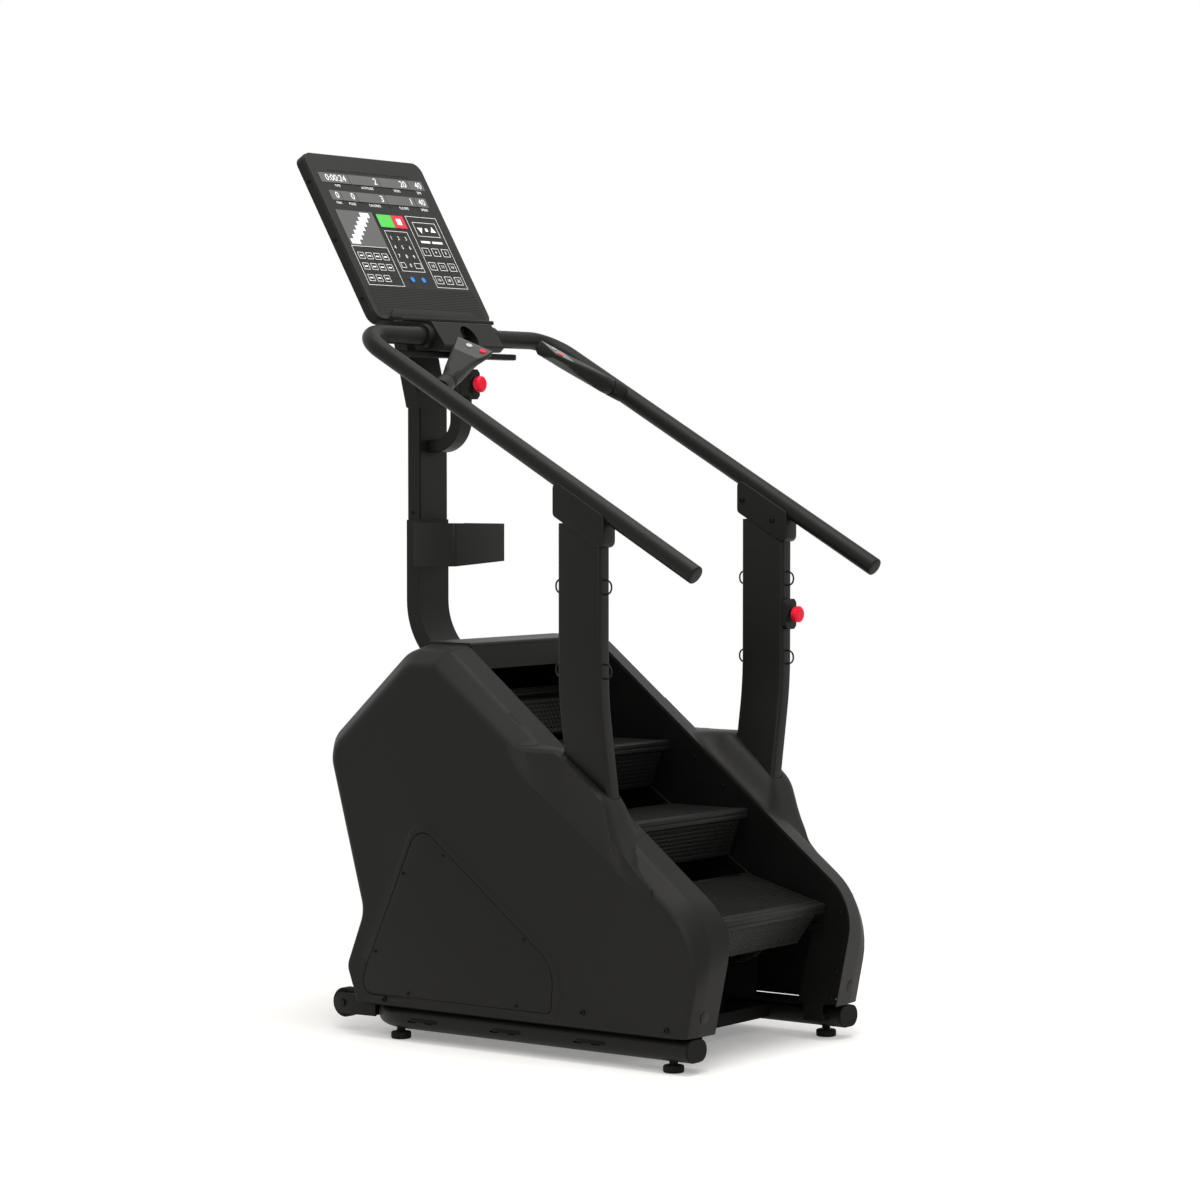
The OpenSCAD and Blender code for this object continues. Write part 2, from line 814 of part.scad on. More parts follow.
module post_right() {
  color("#2b2b2a") placed() post_one();
}

module post_collars() {
  y0 = post_y - collar_l / 2;
  y1 = post_y + collar_l / 2;
  top = 4;
  color("#232323") placed() both() difference() {
    yz(rail_x - collar_t / 2, collar_t) polygon(rounded([
      [y0, rail_z(y0) - collar_drop, 6], [y1, rail_z(y1) - collar_drop, 6], [y1, rail_z(y1) - top, 10],
        [y0, rail_z(y0) - top, 10]
    ], 5));
    translate([rail_x, rail_end_y, rail_end_z]) rotate([rail_deg - 90, 0, 0])
      cylinder(d = rail_d + 2 * seat_clear, h = rail_l);
    translate([rail_x, post_y, 900]) linear_extrude(post_top + seat_clear - 900)
      round_rect(post_t + 2 * seat_clear, post_l + 2 * seat_clear, 10);
  }
}

module ring_2d(d, t) {
  difference() {
    circle(d = d);
    circle(d = d - 2 * t);
  }
}

neck_in = 84;

module handrail() {
  straight = rail_l - rail_bend;
  translate([0, rail_end_y, rail_end_z]) rotate([rail_deg, 0, 0]) {
    translate([rail_x, 0, 0]) rotate([-90, 0, 0]) linear_extrude(straight) ring_2d(rail_d, rail_wall);
    translate([rail_x - rail_bend, straight, 0]) rotate_extrude(angle = 90, $fn = 64) {
      translate([rail_bend, 0]) ring_2d(rail_d, rail_wall);
    }
    translate([neck_in, rail_l, 0]) rotate([0, 90, 0]) linear_extrude(rail_x - rail_bend - neck_in)
      ring_2d(rail_d, rail_wall);
  }
}

module handrail_left() {
  color("#2f2f2e") placed() mirror([1, 0, 0]) handrail();
}

module handrail_right() {
  color("#2f2f2e") placed() handrail();
}

module rail_end_caps() {
  color("#161616") placed() both() translate([rail_x, rail_end_y, rail_end_z]) rotate([rail_deg, 0, 0]) {
    rotate([90, 0, 0]) cylinder(d1 = rail_d, d2 = rail_d - 6, h = 4);
    rotate([-90, 0, 0]) cylinder(d = rail_d - 2 * rail_wall - 2 * seat_clear, h = 18);
  }
}

// Places children with z along a pod's axis, from the rail outward to the pod's end
module on_pod() {
  translate(pod_root) rotate([0, 0, pod_yaw]) rotate([0, 90 - pod_pitch, 0]) rotate([0, 0, -25])
    children();
}

key_z = pod_len - 23;
key_at = [-20, 14];
head_l = 98;
head_w = 46;

module control_pod() {
  face = -pod_d / 2 + pod_flat;
  difference() {
    on_pod() difference() {
      union() {
        cylinder(d = pod_d, h = 50);
        cylinder(d = pod_d - 6, h = 60);
        translate([0, 0, 54]) cylinder(d = pod_d - 2, h = pod_len - 150);
        hull() {
          translate([0, 0, pod_len - 98]) cylinder(d = pod_d - 2, h = 2);
          translate([face, -44, pod_len - head_w]) cube([5, head_l, head_w]);
          translate([face, -44, pod_len - head_w]) cube([34, 40, head_w - 8]);
        }
      }
      for (y = key_at) translate([face + 9, y, key_z]) rotate([0, -90, 0]) {
        cylinder(d = key_d + 2 * move_clear, h = 20);
        translate([0, 0, -8]) cylinder(d = key_d * 0.4, h = 10);
      }
    }
    translate([0, rail_end_y, rail_end_z]) rotate([rail_deg, 0, 0]) translate([rail_x, 0, 0]) {
      rotate([-90, 0, 0]) cylinder(d = rail_d + 2 * seat_clear, h = rail_l - rail_bend);
    }
  }
}

module control_pod_left() {
  color("#1f1f1f") placed() mirror([1, 0, 0]) control_pod();
}

module control_pod_right() {
  color("#1f1f1f") placed() control_pod();
}

module pod_key(i) {
  on_pod() translate([-pod_d / 2 + pod_flat + 9, key_at[i], key_z]) rotate([0, -90, 0]) {
    translate([0, 0, key_travel + move_clear]) cylinder(d = key_d, h = 9 + 2 - key_travel);
    translate([0, 0, -5]) cylinder(d = key_d * 0.4 - 2 * move_clear, h = 8);
  }
}

module pod_key_left_1() {
  color("#b3392f") placed() mirror([1, 0, 0]) pod_key(0);
}

module pod_key_left_2() {
  color("#d9d9d6") placed() mirror([1, 0, 0]) pod_key(1);
}

module pod_key_right_1() {
  color("#b3392f") placed() pod_key(0);
}

module pod_key_right_2() {
  color("#d9d9d6") placed() pod_key(1);
}

// Console plane: x across, y into the slab, z up the slab
module on_console() {
  translate([0, console_y, console_z]) rotate([-console_deg, 0, 0]) children();
}

module plate_xz(h) {
  translate([0, h, 0]) rotate([90, 0, 0]) linear_extrude(h) children();
}

module console_housing() {
  inner = 4;
  color("#262626") placed() on_console() translate([0, face_t, console_l / 2]) difference() {
    plate_xz(console_t) round_rect(console_w, console_l, console_r);
    translate([0, -eps, 0]) plate_xz(console_t - inner)
      round_rect(console_w - 2 * inner, console_l - 2 * inner, console_r - inner);
    for (i = [0:7]) translate([-120 + i * 30, console_t - inner - 1, console_l / 2 - 90])
      cube([14, inner + 2, 5]);
  }
}

module key_window(x, z, w, h, d) {
  translate([x, -1, z]) cube([w, 1 + d, h]);
}

module console_face() {
  color("#101010") placed() on_console() difference() {
    translate([0, 0, console_l / 2]) plate_xz(face_t - seat_clear)
      round_rect(console_w - 3, console_l - 3, console_r);
    for (i = [0:3]) key_window(-150 + i * 76, 372, 68, 40, 1);
    for (i = [0:4]) key_window(-150 + i * 61, 316, 54, 36, 1);
    key_window(-140, 196, 130, 100, 1);
    for (i = [0:2]) for (j = [0:3]) key_window(2 + i * 36, 150 + j * 32, 30, 26, 0.8);
    for (i = [0:2]) for (j = [0:2]) key_window(122 + i * 26, 120 + j * 30, 20, 24, 0.8);
    for (i = [0:3]) for (j = [0:2]) key_window(-148 + i * 33, 90 + j * 32, 27, 26, 0.8);
  }
}

module neck_block() {
  r = rail_d / 2 + seat_clear;
  color("#232323") placed() difference() {
    union() {
      yz(-neck_w / 2, neck_w) polygon(rounded([
        [neck_y0, neck_z0 + 12, 4], [neck_y0 + 14, neck_z0, 6], [neck_y1, neck_z0, 12],
          [neck_y1, neck_z0 + neck_h, 6],
        [neck_y0 + 42, neck_z0 + neck_h, 5]
      ], 5));
      both() bar_x(neck_w / 2 - 1, neck_w / 2 + 20, [cross_y, cross_z], rail_d + 14);
    }
    both() bar_x(neck_in - 1, neck_w / 2 + 30, [cross_y, cross_z], 2 * r);
    translate([0, neck_y0 - 1, cross_z]) rotate([-90, 0, 0]) cylinder(d = fan_d, h = 66);
    for (a = [0:45:315]) translate([0, neck_y1 + 1, cross_z]) rotate([90, a, 0]) translate([18, 0, 0])
      cylinder(d = 9, h = 60, $fn = 24);
  }
  color("#232323") placed() translate([0, fan_y + 2, cross_z]) rotate([-90, 0, 0])
    cylinder(d = fan_pin_d, h = 25);
}

module fan_wheel() {
  color("#3b3b3b") placed() translate([0, fan_y, cross_z]) rotate([-90, 0, 0]) difference() {
    union() {
      cylinder(d = 20, h = 20);
      for (a = [0:60:300]) rotate(a) translate([8, 0, 2]) rotate([35, 0, 0])
        cube([fan_d / 2 - 8 - 3, 2, 14]);
    }
    translate([0, 0, 1.5]) cylinder(d = fan_pin_d + 2 * run_clear, h = 30);
  }
}

module console_shelf() {
  z = neck_z0 + neck_h + seat_clear;
  bar_z = neck_z0 - seat_clear;
  color("#1d1d1d") placed() {
    translate([0, 0, z]) linear_extrude(10) {
      polygon([[-170, neck_y1 - 12], [170, neck_y1 - 12], [170, console_y - 6], [-170, console_y - 6]]);
    }
    translate([0, cross_y + 22, bar_z - 14]) linear_extrude(14) oval(490, 36);
  }
}

module mast_profile(grow) {
  round_rect(mast_w + 2 * grow, mast_t + 2 * grow, 9 + min(grow, 0));
}

// Mast foot: upright length, bend and the length that runs into the body
module mast_tube(grow, ext = 0) {
  turn = 45;
  back = mast_y + mast_t / 2 - mast_bend;
  leg_l = (back + mast_bend * cos(turn) - mast_foot[0]) / sin(turn);
  down = leg_l + ext;
  c = [back, mast_foot[1] + mast_bend * sin(turn) + leg_l * cos(turn)];
  ro = mast_bend + mast_t / 2 + grow;
  ri = mast_bend - mast_t / 2 - grow;
  leg = [-sin(turn), -cos(turn)] * down;
  outer = [for (i = [0 : 12]) c + ro * [cos(turn * i / 12), -sin(turn * i / 12)]];
  inner = [for (i = [12 : -1 : 0]) c + ri * [cos(turn * i / 12), -sin(turn * i / 12)]];
  top = mast_joint + ext;
  ends = [outer[12] + leg, inner[0] + leg];
  yz(-mast_w / 2 - grow, mast_w + 2 * grow) {
    polygon(concat([[c[0] + ri, top], [c[0] + ro, top]], outer, ends, inner));
  }
}

module mast_lower() {
  color("#2b2b2a") placed() {
    difference() {
      mast_tube(0);
      mast_tube(-3, 2);
    }
    translate([-frame_x + seat_clear, mast_foot[0] - 12, mast_foot[1] - 28])
      cube([2 * frame_x - 2 * seat_clear, 38, 34]);
  }
}

module mast_upper() {
  lean = 14;
  y0 = mast_y;
  y1 = mast_y + mast_t;
  zt = mast_lean_z;
  up = 190;
  foot = console_z - slab_t * sin(console_deg);
  back = console_y + slab_t * cos(console_deg);
  k = tan(console_deg);
  head = [
    [y0, zt - 2], [y1, zt - 2], [y1 + up * tan(lean), zt + up], [back + 150 * k + 24, foot + 150],
    [back + 150 * k + seat_clear, foot + 150], [back + 10 * k + seat_clear, foot + 10],
      [y0 + 150 * tan(lean), zt + 150]
  ];
  color("#2b2b2a") placed() difference() {
    union() {
      translate([0, mast_y + mast_t / 2, mast_joint + seat_clear])
        linear_extrude(zt - mast_joint - seat_clear) mast_profile(0);
      yz(-mast_w / 2, mast_w) polygon(head);
    }
    translate([0, mast_y + mast_t / 2, mast_joint - 1]) linear_extrude(zt - mast_joint) mast_profile(-3);
    yz(-mast_w / 2 + 3, mast_w - 6) offset(delta = -3) polygon(head);
  }
}

module accessory_holder() {
  z0 = 1068;
  y1 = mast_y - seat_clear;
  color("#222222") placed() difference() {
    translate([-holder_w / 2, y1 - holder_l, z0]) cube([holder_w, holder_l, holder_h]);
    translate([-holder_w / 2 + holder_t, y1 - holder_l + holder_t, z0 + holder_t])
      cube([holder_w - 2 * holder_t, holder_l - 2 * holder_t, holder_h]);
    for (x = [-30, 30]) translate([x, y1 - 40, z0 + holder_h - 22]) rotate([-90, 0, 0])
      cylinder(d = 6, h = 60);
  }
}

module console_support() {
  r = 62;
  z0 = cross_z - 254;
  yc = support_y;
  h = support_t / 2;
  c = [yc + r, z0 + r];
  top = neck_z0 - seat_clear;
  front = mast_y - seat_clear;
  outer = [for (i = [0 : 16]) c + (r + h) * [-cos(90 * i / 16), -sin(90 * i / 16)]];
  inner = [for (i = [16 : -1 : 0]) c + (r - h) * [-cos(90 * i / 16), -sin(90 * i / 16)]];
  color("#262626") placed() yz(-support_w / 2, support_w) {
    polygon(concat([[yc + h, top], [yc - h, top]], outer, [[front, z0 - h], [front, z0 + h]], inner));
  }
}

module stop_box(t) {
  difference() {
    union() {
      translate([-box_w / 2, -t, -box_h / 2]) cube([box_w, t, box_h]);
      translate([0, -t + 1, 0]) rotate([90, 0, 0]) cylinder(d = stop_d + 4, h = 5);
    }
    translate([0, 1, 0]) rotate([90, 0, 0]) cylinder(d = stop_stem_d + 2 * run_clear, h = t + 10);
    for (s = [-1, 1]) for (k = [-1, 1]) {
      translate([s * box_w / 2, -t, k * box_h / 2]) rotate([0, 45, 0]) cube([12, 80, 12], center = true);
    }
  }
}

module stop_head(t) {
  base = t + 4 + stop_travel + move_clear;
  rotate([90, 0, 0]) {
    translate([0, 0, stop_travel + 1]) cylinder(d = stop_stem_d, h = base - stop_travel);
    translate([0, 0, base]) {
      cylinder(d = stop_d - 4, h = 5);
      translate([0, 0, 5]) cylinder(d = stop_d, h = 8);
      translate([0, 0, 13]) cylinder(d1 = stop_d, d2 = stop_d - 10, h = 4);
    }
  }
}

front_stop = [0, support_y - support_t / 2 - seat_clear, stop_z];
rear_stop = [rail_x, post_y - post_l / 2 - seat_clear, rear_stop_z];
rear_box_t = 12;

module stop_boxes() {
  color("#1a1a1a") placed() {
    translate(front_stop) stop_box(box_t);
    translate(rear_stop) stop_box(rear_box_t);
  }
}

module stop_head_front() {
  color("#c4241c") placed() translate(front_stop) stop_head(box_t);
}

module stop_head_rear() {
  color("#c4241c") placed() translate(rear_stop) stop_head(rear_box_t);
}

module band_loop() {
  rise = loop_h - loop_wire;
  r = 8;
  out = loop_reach - loop_wire / 2;
  for (s = [-1, 1]) {
    translate([0, 0, s * rise / 2]) rotate([-90, 0, 0]) cylinder(d = loop_wire, h = out - r);
    translate([0, out - r, s * (rise / 2 - r)]) rotate([90, 0, 90]) rotate([0, 0, s > 0 ? 0 : -90])
      rotate_extrude(angle = 90) translate([r, 0]) circle(d = loop_wire, $fn = 24);
  }
  translate([0, out, -rise / 2 + r]) cylinder(d = loop_wire, h = rise - 2 * r);
}

module band_loops() {
  color("#4b4b4a") placed() both() for (z = [860, 1042]) {
    translate([rail_x, post_y + post_l / 2 + seat_clear, z]) band_loop();
    translate([rail_x, post_y - post_l / 2 - seat_clear, z]) mirror([0, 1, 0]) band_loop();
  }
}

module screw_head(d) {
  cylinder(d = d, h = 2);
  translate([0, 0, 2]) cylinder(d1 = d, d2 = d * 0.6, h = 1.5);
}

module fasteners() {
  out = cover_out + seat_clear;
  color("#4a4a49") placed() both() {
    for (p = [[777, 91], [214, 114], [-10, 96]]) translate([out, p[0], p[1]]) rotate([0, 90, 0])
      screw_head(11);
    for (p = [[730, 384], [602, 436], [373, 261], [toe_y - 45, 200], [704, 110], [395, 110]]) {
      translate([out - 1, p[0], p[1]]) rotate([0, 90, 0]) screw_head(7);
    }
    for (p = [[256, 1222], [172, 1176]]) translate([rail_x - collar_t / 2 - seat_clear, p[0], p[1]])
      rotate([0, -90, 0]) screw_head(12);
    for (p = [[-70, 163], [-14, 99], [-55, 100], [-80, 296], [-17, 264], [324, 628], [242, 565]]) {
      translate([frame_x - seat_clear, p[0], p[1]]) rotate([0, -90, 0]) screw_head(9);
    }
    on_console() for (k = [0.14, 0.49, 0.84]) {
      translate([console_w / 2 + seat_clear, slab_t / 2, k * console_l]) rotate([0, 90, 0]) screw_head(8);
    }
  }
}

base_frame();
base_end_caps();
cross_beams();
levelling_feet();
wheel_left();
wheel_right();
wheel_brackets();
side_frame_left();
side_frame_right();
drive_shaft();
drive_sprockets();
stub_axles();
upper_sprockets();
shaft_bearings();
step_chains();
step_1();
step_2();
step_3();
step_4();
step_5();
step_6();
step_7();
drive_motor();
motor_pulley();
drive_pulley();
drive_belt();
controller_box();
power_inlet();
side_cover_left();
side_cover_right();
access_panel_left();
access_panel_right();
top_cap();
front_cover();
post_left();
post_right();
post_collars();
handrail_left();
handrail_right();
rail_end_caps();
control_pod_left();
control_pod_right();
pod_key_left_1();
pod_key_left_2();
pod_key_right_1();
pod_key_right_2();
console_housing();
console_face();
neck_block();
fan_wheel();
console_shelf();
mast_lower();
mast_upper();
accessory_holder();
console_support();
stop_boxes();
stop_head_front();
stop_head_rear();
band_loops();
fasteners();
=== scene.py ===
# %% [markdown]
# # A stair climber, piece by piece
# The machine is a short moving staircase between two moulded side covers, with two posts,
# two long rails and a console. This lesson keeps the plain CAD solids, gives them soft edges
# and finishes, a few of them with painted shade or a painted highlight, and models the richer
# pieces afresh around them.

# %% Load the frame
import math

import bpy
from mathutils import Matrix, Vector


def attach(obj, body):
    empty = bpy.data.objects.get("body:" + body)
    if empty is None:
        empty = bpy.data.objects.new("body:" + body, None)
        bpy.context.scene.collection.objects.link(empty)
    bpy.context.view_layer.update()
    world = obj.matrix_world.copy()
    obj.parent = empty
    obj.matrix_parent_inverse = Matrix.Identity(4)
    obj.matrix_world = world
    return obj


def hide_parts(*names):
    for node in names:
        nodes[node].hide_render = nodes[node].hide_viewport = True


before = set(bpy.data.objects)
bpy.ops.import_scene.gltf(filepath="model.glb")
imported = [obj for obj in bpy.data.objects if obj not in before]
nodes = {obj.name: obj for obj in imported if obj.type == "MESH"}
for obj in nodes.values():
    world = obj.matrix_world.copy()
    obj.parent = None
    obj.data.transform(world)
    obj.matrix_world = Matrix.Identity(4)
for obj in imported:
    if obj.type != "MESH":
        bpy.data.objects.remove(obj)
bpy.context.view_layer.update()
print("solids in the frame:", len(nodes))

# %% [markdown]
# ## A ruler for the whole lesson
# The machine was measured in millimetres from the line of its rear feet, with X to the user's
# right and Y towards the console. Blender works in metres about the frame's own origin,
# so small helpers turn the ruler's numbers into points and places.

# %% The ruler
REAR_FEET = 525.486
POST_X, POST_Y = 354, 202  # middle of a post; the rail above it has the same x
EDGE_X, SHOULDER_X, FACE_X = 240, 300, 342  # a side cover, from the stair outwards
SIDES = (-1, 1)  # left and right


def at(x, y, z):
    return Vector((x, y - REAR_FEET, z)) / 1000


def mm(x, y, z):
    return Vector((x, y, z)) / 1000


def turned(place, degrees, axis):
    return Matrix.Translation(place) @ Matrix.Rotation(math.radians(degrees), 4, axis)


print("rear feet line lies at y =", round(at(0, 0, 0).y, 4))

# %% [markdown]
# ## Camera and light
# The picture is taken from the user's left, a little above the handrails. A long lens
# at a measured place, far away, gives the gentle perspective.

# %% Camera
yaw, pitch = math.radians(36.56), math.radians(2.27)
level = math.cos(pitch)
look = Vector((level * math.cos(yaw), level * math.sin(yaw), -math.sin(pitch)))
scene = bpy.context.scene
camera_data = bpy.data.cameras.new("studio camera")
camera_data.lens = 106.77
camera_data.sensor_width = 36
camera = bpy.data.objects.new("studio camera", camera_data)
camera.location = at(-6507, -4405, 1318)
camera.rotation_euler = look.to_track_quat("-Z", "Y").to_euler()
scene.collection.objects.link(camera)
scene.camera = camera
scene.view_settings.view_transform = "Standard"
print("camera stands", round(camera.location.length, 2), "m from the machine")

# %% [markdown]
# Light and finishes are built from nodes. One helper adds a node with its settings, another wires
# outputs to inputs, so every network reads as a short list.

# %% Helpers for settings and nodes
def adjust(thing, settings):
    for name, value in settings.items():
        setattr(thing, name, value)


def give(node, inputs):
    for name, value in inputs.items():
        node.inputs[name].default_value = value


def add(tree, kind, inputs=None, **settings):
    node = tree.nodes.new("ShaderNode" + kind)
    adjust(node, settings)
    give(node, inputs or {})
    return node


def wire(*links):
    for source, output, target, socket in links:
        source.id_data.links.new(source.outputs[output], target.inputs[socket])


print("node helpers ready")

# %% [markdown]
# A white sweep surrounds the machine. The camera and reflections see it as plain white, while
# its light is softer. Two lamps draw the tops of the rails and the sloping strips of the covers.

# %% World and lamps
WHITE = (1, 1, 1, 1)
SOFT_LIGHT, PLAIN_WHITE = 0.55, 1.0
world = bpy.data.worlds.new("white studio")
scene.world = world
world.use_nodes = True
sweep = world.node_tree
sweep.nodes.clear()
path = add(sweep, "LightPath")
seen, seen_all = (add(sweep, "Math", operation="MAXIMUM") for _ in range(2))
soft = add(sweep, "Background", {"Color": WHITE, "Strength": SOFT_LIGHT})
plain = add(sweep, "Background", {"Color": WHITE, "Strength": PLAIN_WHITE})
choose, sky = add(sweep, "MixShader"), add(sweep, "OutputWorld")
wire((path, "Is Camera Ray", seen, 0), (path, "Is Glossy Ray", seen, 1),
     (seen, 0, seen_all, 0), (path, "Is Transmission Ray", seen_all, 1),
     (seen_all, 0, choose, 0), (soft, 0, choose, 1), (plain, 0, choose, 2),
     (choose, 0, sky, "Surface"))


def lamp(name, place, aim, size, watts):
    data = bpy.data.lights.new(name, "AREA")
    adjust(data, {"size": size, "energy": watts})
    light = bpy.data.objects.new(name, data)
    light.location = place
    light.rotation_euler = (aim - place).to_track_quat("-Z", "Y").to_euler()
    scene.collection.objects.link(light)
    print("lamp", name, watts, "W")


lamp("overhead", at(-300, -200, 4200), at(0, 500, 700), 3.0, 120)
lamp("left front", at(-3200, -1500, 2600), at(0, 400, 900), 2.2, 50)

# %% [markdown]
# ## Finishes
# Nearly everything is black, so the finishes differ in how they break up light: powder coat has
# a fine orange peel, moulded plastic a tighter grain, rubber almost no shine. Grain and settled
# dust are shared, so each is a node group that every material places with its own values.

# %% Shared groups
def group(name, numbers_in, numbers_out):
    tree = bpy.data.node_groups.new(name, "ShaderNodeTree")
    for label, value in numbers_in.items():
        socket = tree.interface.new_socket(
            name=label, in_out="INPUT", socket_type="NodeSocketFloat")
        socket.default_value = value
    for label in numbers_out:
        tree.interface.new_socket(name=label, in_out="OUTPUT", socket_type="NodeSocketFloat")
    return tree, tree.nodes.new("NodeGroupInput"), tree.nodes.new("NodeGroupOutput")


grain, g_in, g_out = group(
    "moulded grain", {"Scale": 700.0, "Patch Scale": 9.0}, ("Height", "Patch"))
g_place = add(grain, "TexCoord")
g_fine, g_wide = add(grain, "TexNoise", {"Detail": 3}), add(grain, "TexNoise", {"Detail": 4})
wire((g_place, "Object", g_fine, "Vector"), (g_place, "Object", g_wide, "Vector"),
     (g_in, "Scale", g_fine, "Scale"), (g_in, "Patch Scale", g_wide, "Scale"),
     (g_fine, "Fac", g_out, "Height"), (g_wide, "Fac", g_out, "Patch"))

STEEPEST_DUST = 0.55  # the upward part of a normal below which no dust stays
dust, d_in, d_out = group("settled dust", {"Scale": 24.0, "Amount": 0.1}, ("Mask",))
d_place, d_shape = add(dust, "TexCoord"), add(dust, "NewGeometry")
d_noise, d_split = add(dust, "TexNoise"), add(dust, "SeparateXYZ")
d_up = add(dust, "MapRange", {"From Min": STEEPEST_DUST})
d_mix, d_amount = (add(dust, "Math", operation="MULTIPLY") for _ in range(2))
wire((d_place, "Object", d_noise, "Vector"), (d_in, "Scale", d_noise, "Scale"),
     (d_shape, "Normal", d_split, 0), (d_split, "Z", d_up, "Value"),
     (d_up, 0, d_mix, 0), (d_noise, "Fac", d_mix, 1),
     (d_mix, 0, d_amount, 0), (d_in, "Amount", d_amount, 1), (d_amount, 0, d_out, "Mask"))
print("node groups:", [g.name for g in bpy.data.node_groups])

# %% One recipe for the plain finishes
WARM_TINT = (1.0, 0.975, 0.92, 1)
DUST_GREY = (0.16, 0.155, 0.145, 1)
SMOOTHER, ROUGHER = 0.06, 0.08  # how far the patches stray from the mean roughness
GRAIN_DEPTH = 0.0004
FACTOR, FIRST, SECOND, MIXED = 0, 6, 7, 2  # sockets of a colour mix


def finish(name, dark, light, rough, shine, peel, scale, dusty=0.0, metal=0.0):
    material = bpy.data.materials.new(name)
    material.use_nodes = True
    tree = material.node_tree
    shader = tree.nodes["Principled BSDF"]
    give(shader, {"Specular IOR Level": shine, "Specular Tint": WARM_TINT, "Metallic": metal})
    texture = add(tree, "Group", {"Scale": scale}, node_tree=grain)
    tone = add(tree, "Mix", {FIRST: (*dark, 1), SECOND: (*light, 1)}, data_type="RGBA")
    film = add(tree, "Group", {"Amount": dusty}, node_tree=dust)
    grey = add(tree, "Mix", {SECOND: DUST_GREY}, data_type="RGBA")
    spread = add(tree, "MapRange", {"To Min": rough - SMOOTHER, "To Max": rough + ROUGHER})
    bump = add(tree, "Bump", {"Strength": peel, "Distance": GRAIN_DEPTH})
    wire((texture, "Patch", tone, FACTOR), (film, "Mask", grey, FACTOR),
         (tone, MIXED, grey, FIRST), (grey, MIXED, shader, "Base Color"),
         (texture, "Patch", spread, "Value"), (spread, 0, shader, "Roughness"),
         (texture, "Height", bump, "Height"), (bump, 0, shader, "Normal"))
    return material


def greys(*shades):
    return [(shade, shade, shade) for shade in shades]


INK, BLACK, SOOT = (0.0022, 0.0022, 0.0021), (0.0048, 0.0048, 0.0046), (0.0066, 0.0066, 0.0063)
paint = finish("black powder coat", BLACK, SOOT, 0.42, 0.155, 0.25, 900, 0.03)
# The plate finish is real satin plate, made darker and duller than the powder coat as painted shade
# for parts that sit in shadow.
plate = finish("satin black plate with painted shade", INK, BLACK, 0.55, 0.08, 0.2, 900, 0.02)
shell = finish("black moulded cover", BLACK, SOOT, 0.48, 0.165, 0.2, 1300, 0.04)
tread = finish("ribbed tread plastic", INK, BLACK, 0.58, 0.06, 0.3, 1100, 0.04)
nosing = finish("smooth nosing plastic", BLACK, SOOT, 0.45, 0.15, 0.2, 1300, 0.04)
grip = finish("rail grip rubber", BLACK, SOOT, 0.42, 0.145, 0.3, 1600, 0.03)
dull = finish("dull black rubber", BLACK, SOOT, 0.75, 0.14, 0.4, 700, 0.06)
screw = finish("blackened screw steel", INK, BLACK, 0.45, 0.12, 0.2, 900)
steel = finish("oiled dark steel", (0.020, 0.020, 0.019), (0.034, 0.034, 0.032),
               0.42, 0.5, 0.1, 600, 0.02, 1.0)
alloy = finish("cast motor alloy", (0.06, 0.06, 0.058), (0.10, 0.10, 0.097),
               0.5, 0.5, 0.35, 400, 0.04, 1.0)
signal = finish("red stop plastic", (0.76, 0.002, 0.026), (0.82, 0.004, 0.034),
                0.30, 0.22, 0.05, 500)
# The pod top is glossier plastic, and its base colour is lighter than the cover's as a painted
# highlight.
painted_pod_highlight = finish("polished pod top with painted highlight", (0.018, 0.018, 0.0175), (0.026, 0.026, 0.025),
               0.26, 0.42, 0.05, 1300)
pale = finish("pale key plastic", (0.36, 0.36, 0.35), (0.42, 0.42, 0.41), 0.45, 0.4, 0.1, 900)
keycap = finish("soft key plastic", *greys(0.030, 0.040), 0.5, 0.4, 0.2, 900)
glass = finish("console overlay", (0.006, 0.006, 0.006), BLACK, 0.40, 0.25, 0.1, 1500)
print("finishes:", len(bpy.data.materials))

# %% [markdown]
# ## Soft edges on the plain solids
# The solids arrive as loose triangles with knife edges, so four live modifiers dress them:
# Weld joins the corners, a planar Decimate clears the flat faces, a Bevel rounds the sharp edges,
# and Weighted Normal lets the large faces decide the shading, so no streaks run out from holes.

# %% Dress a solid
SHARP = 32  # degrees; an edge that turns by more is rounded


def modify(piece, name, kind, **settings):
    modifier = piece.modifiers.new(name, kind)
    adjust(modifier, settings)
    return modifier


def bevel(piece, width, segments=2, angle=SHARP):
    return modify(piece, "soft edges", "BEVEL", width=width / 1000, segments=segments,
                  limit_method="ANGLE", angle_limit=math.radians(angle))


def coat(piece, material):
    piece.data.materials.clear()
    piece.data.materials.append(material)
    return piece


def dress(node, material, width):
    piece = coat(nodes[node], material)
    piece.data.shade_smooth()
    if width:
        modify(piece, "join corners", "WELD", merge_threshold=0.00002)
        modify(piece, "clear flats", "DECIMATE", decimate_type="DISSOLVE",
               angle_limit=math.radians(0.5))
        adjust(bevel(piece, width), {"harden_normals": True, "use_clamp_overlap": True})
        modify(piece, "even faces", "WEIGHTED_NORMAL", keep_sharp=True)


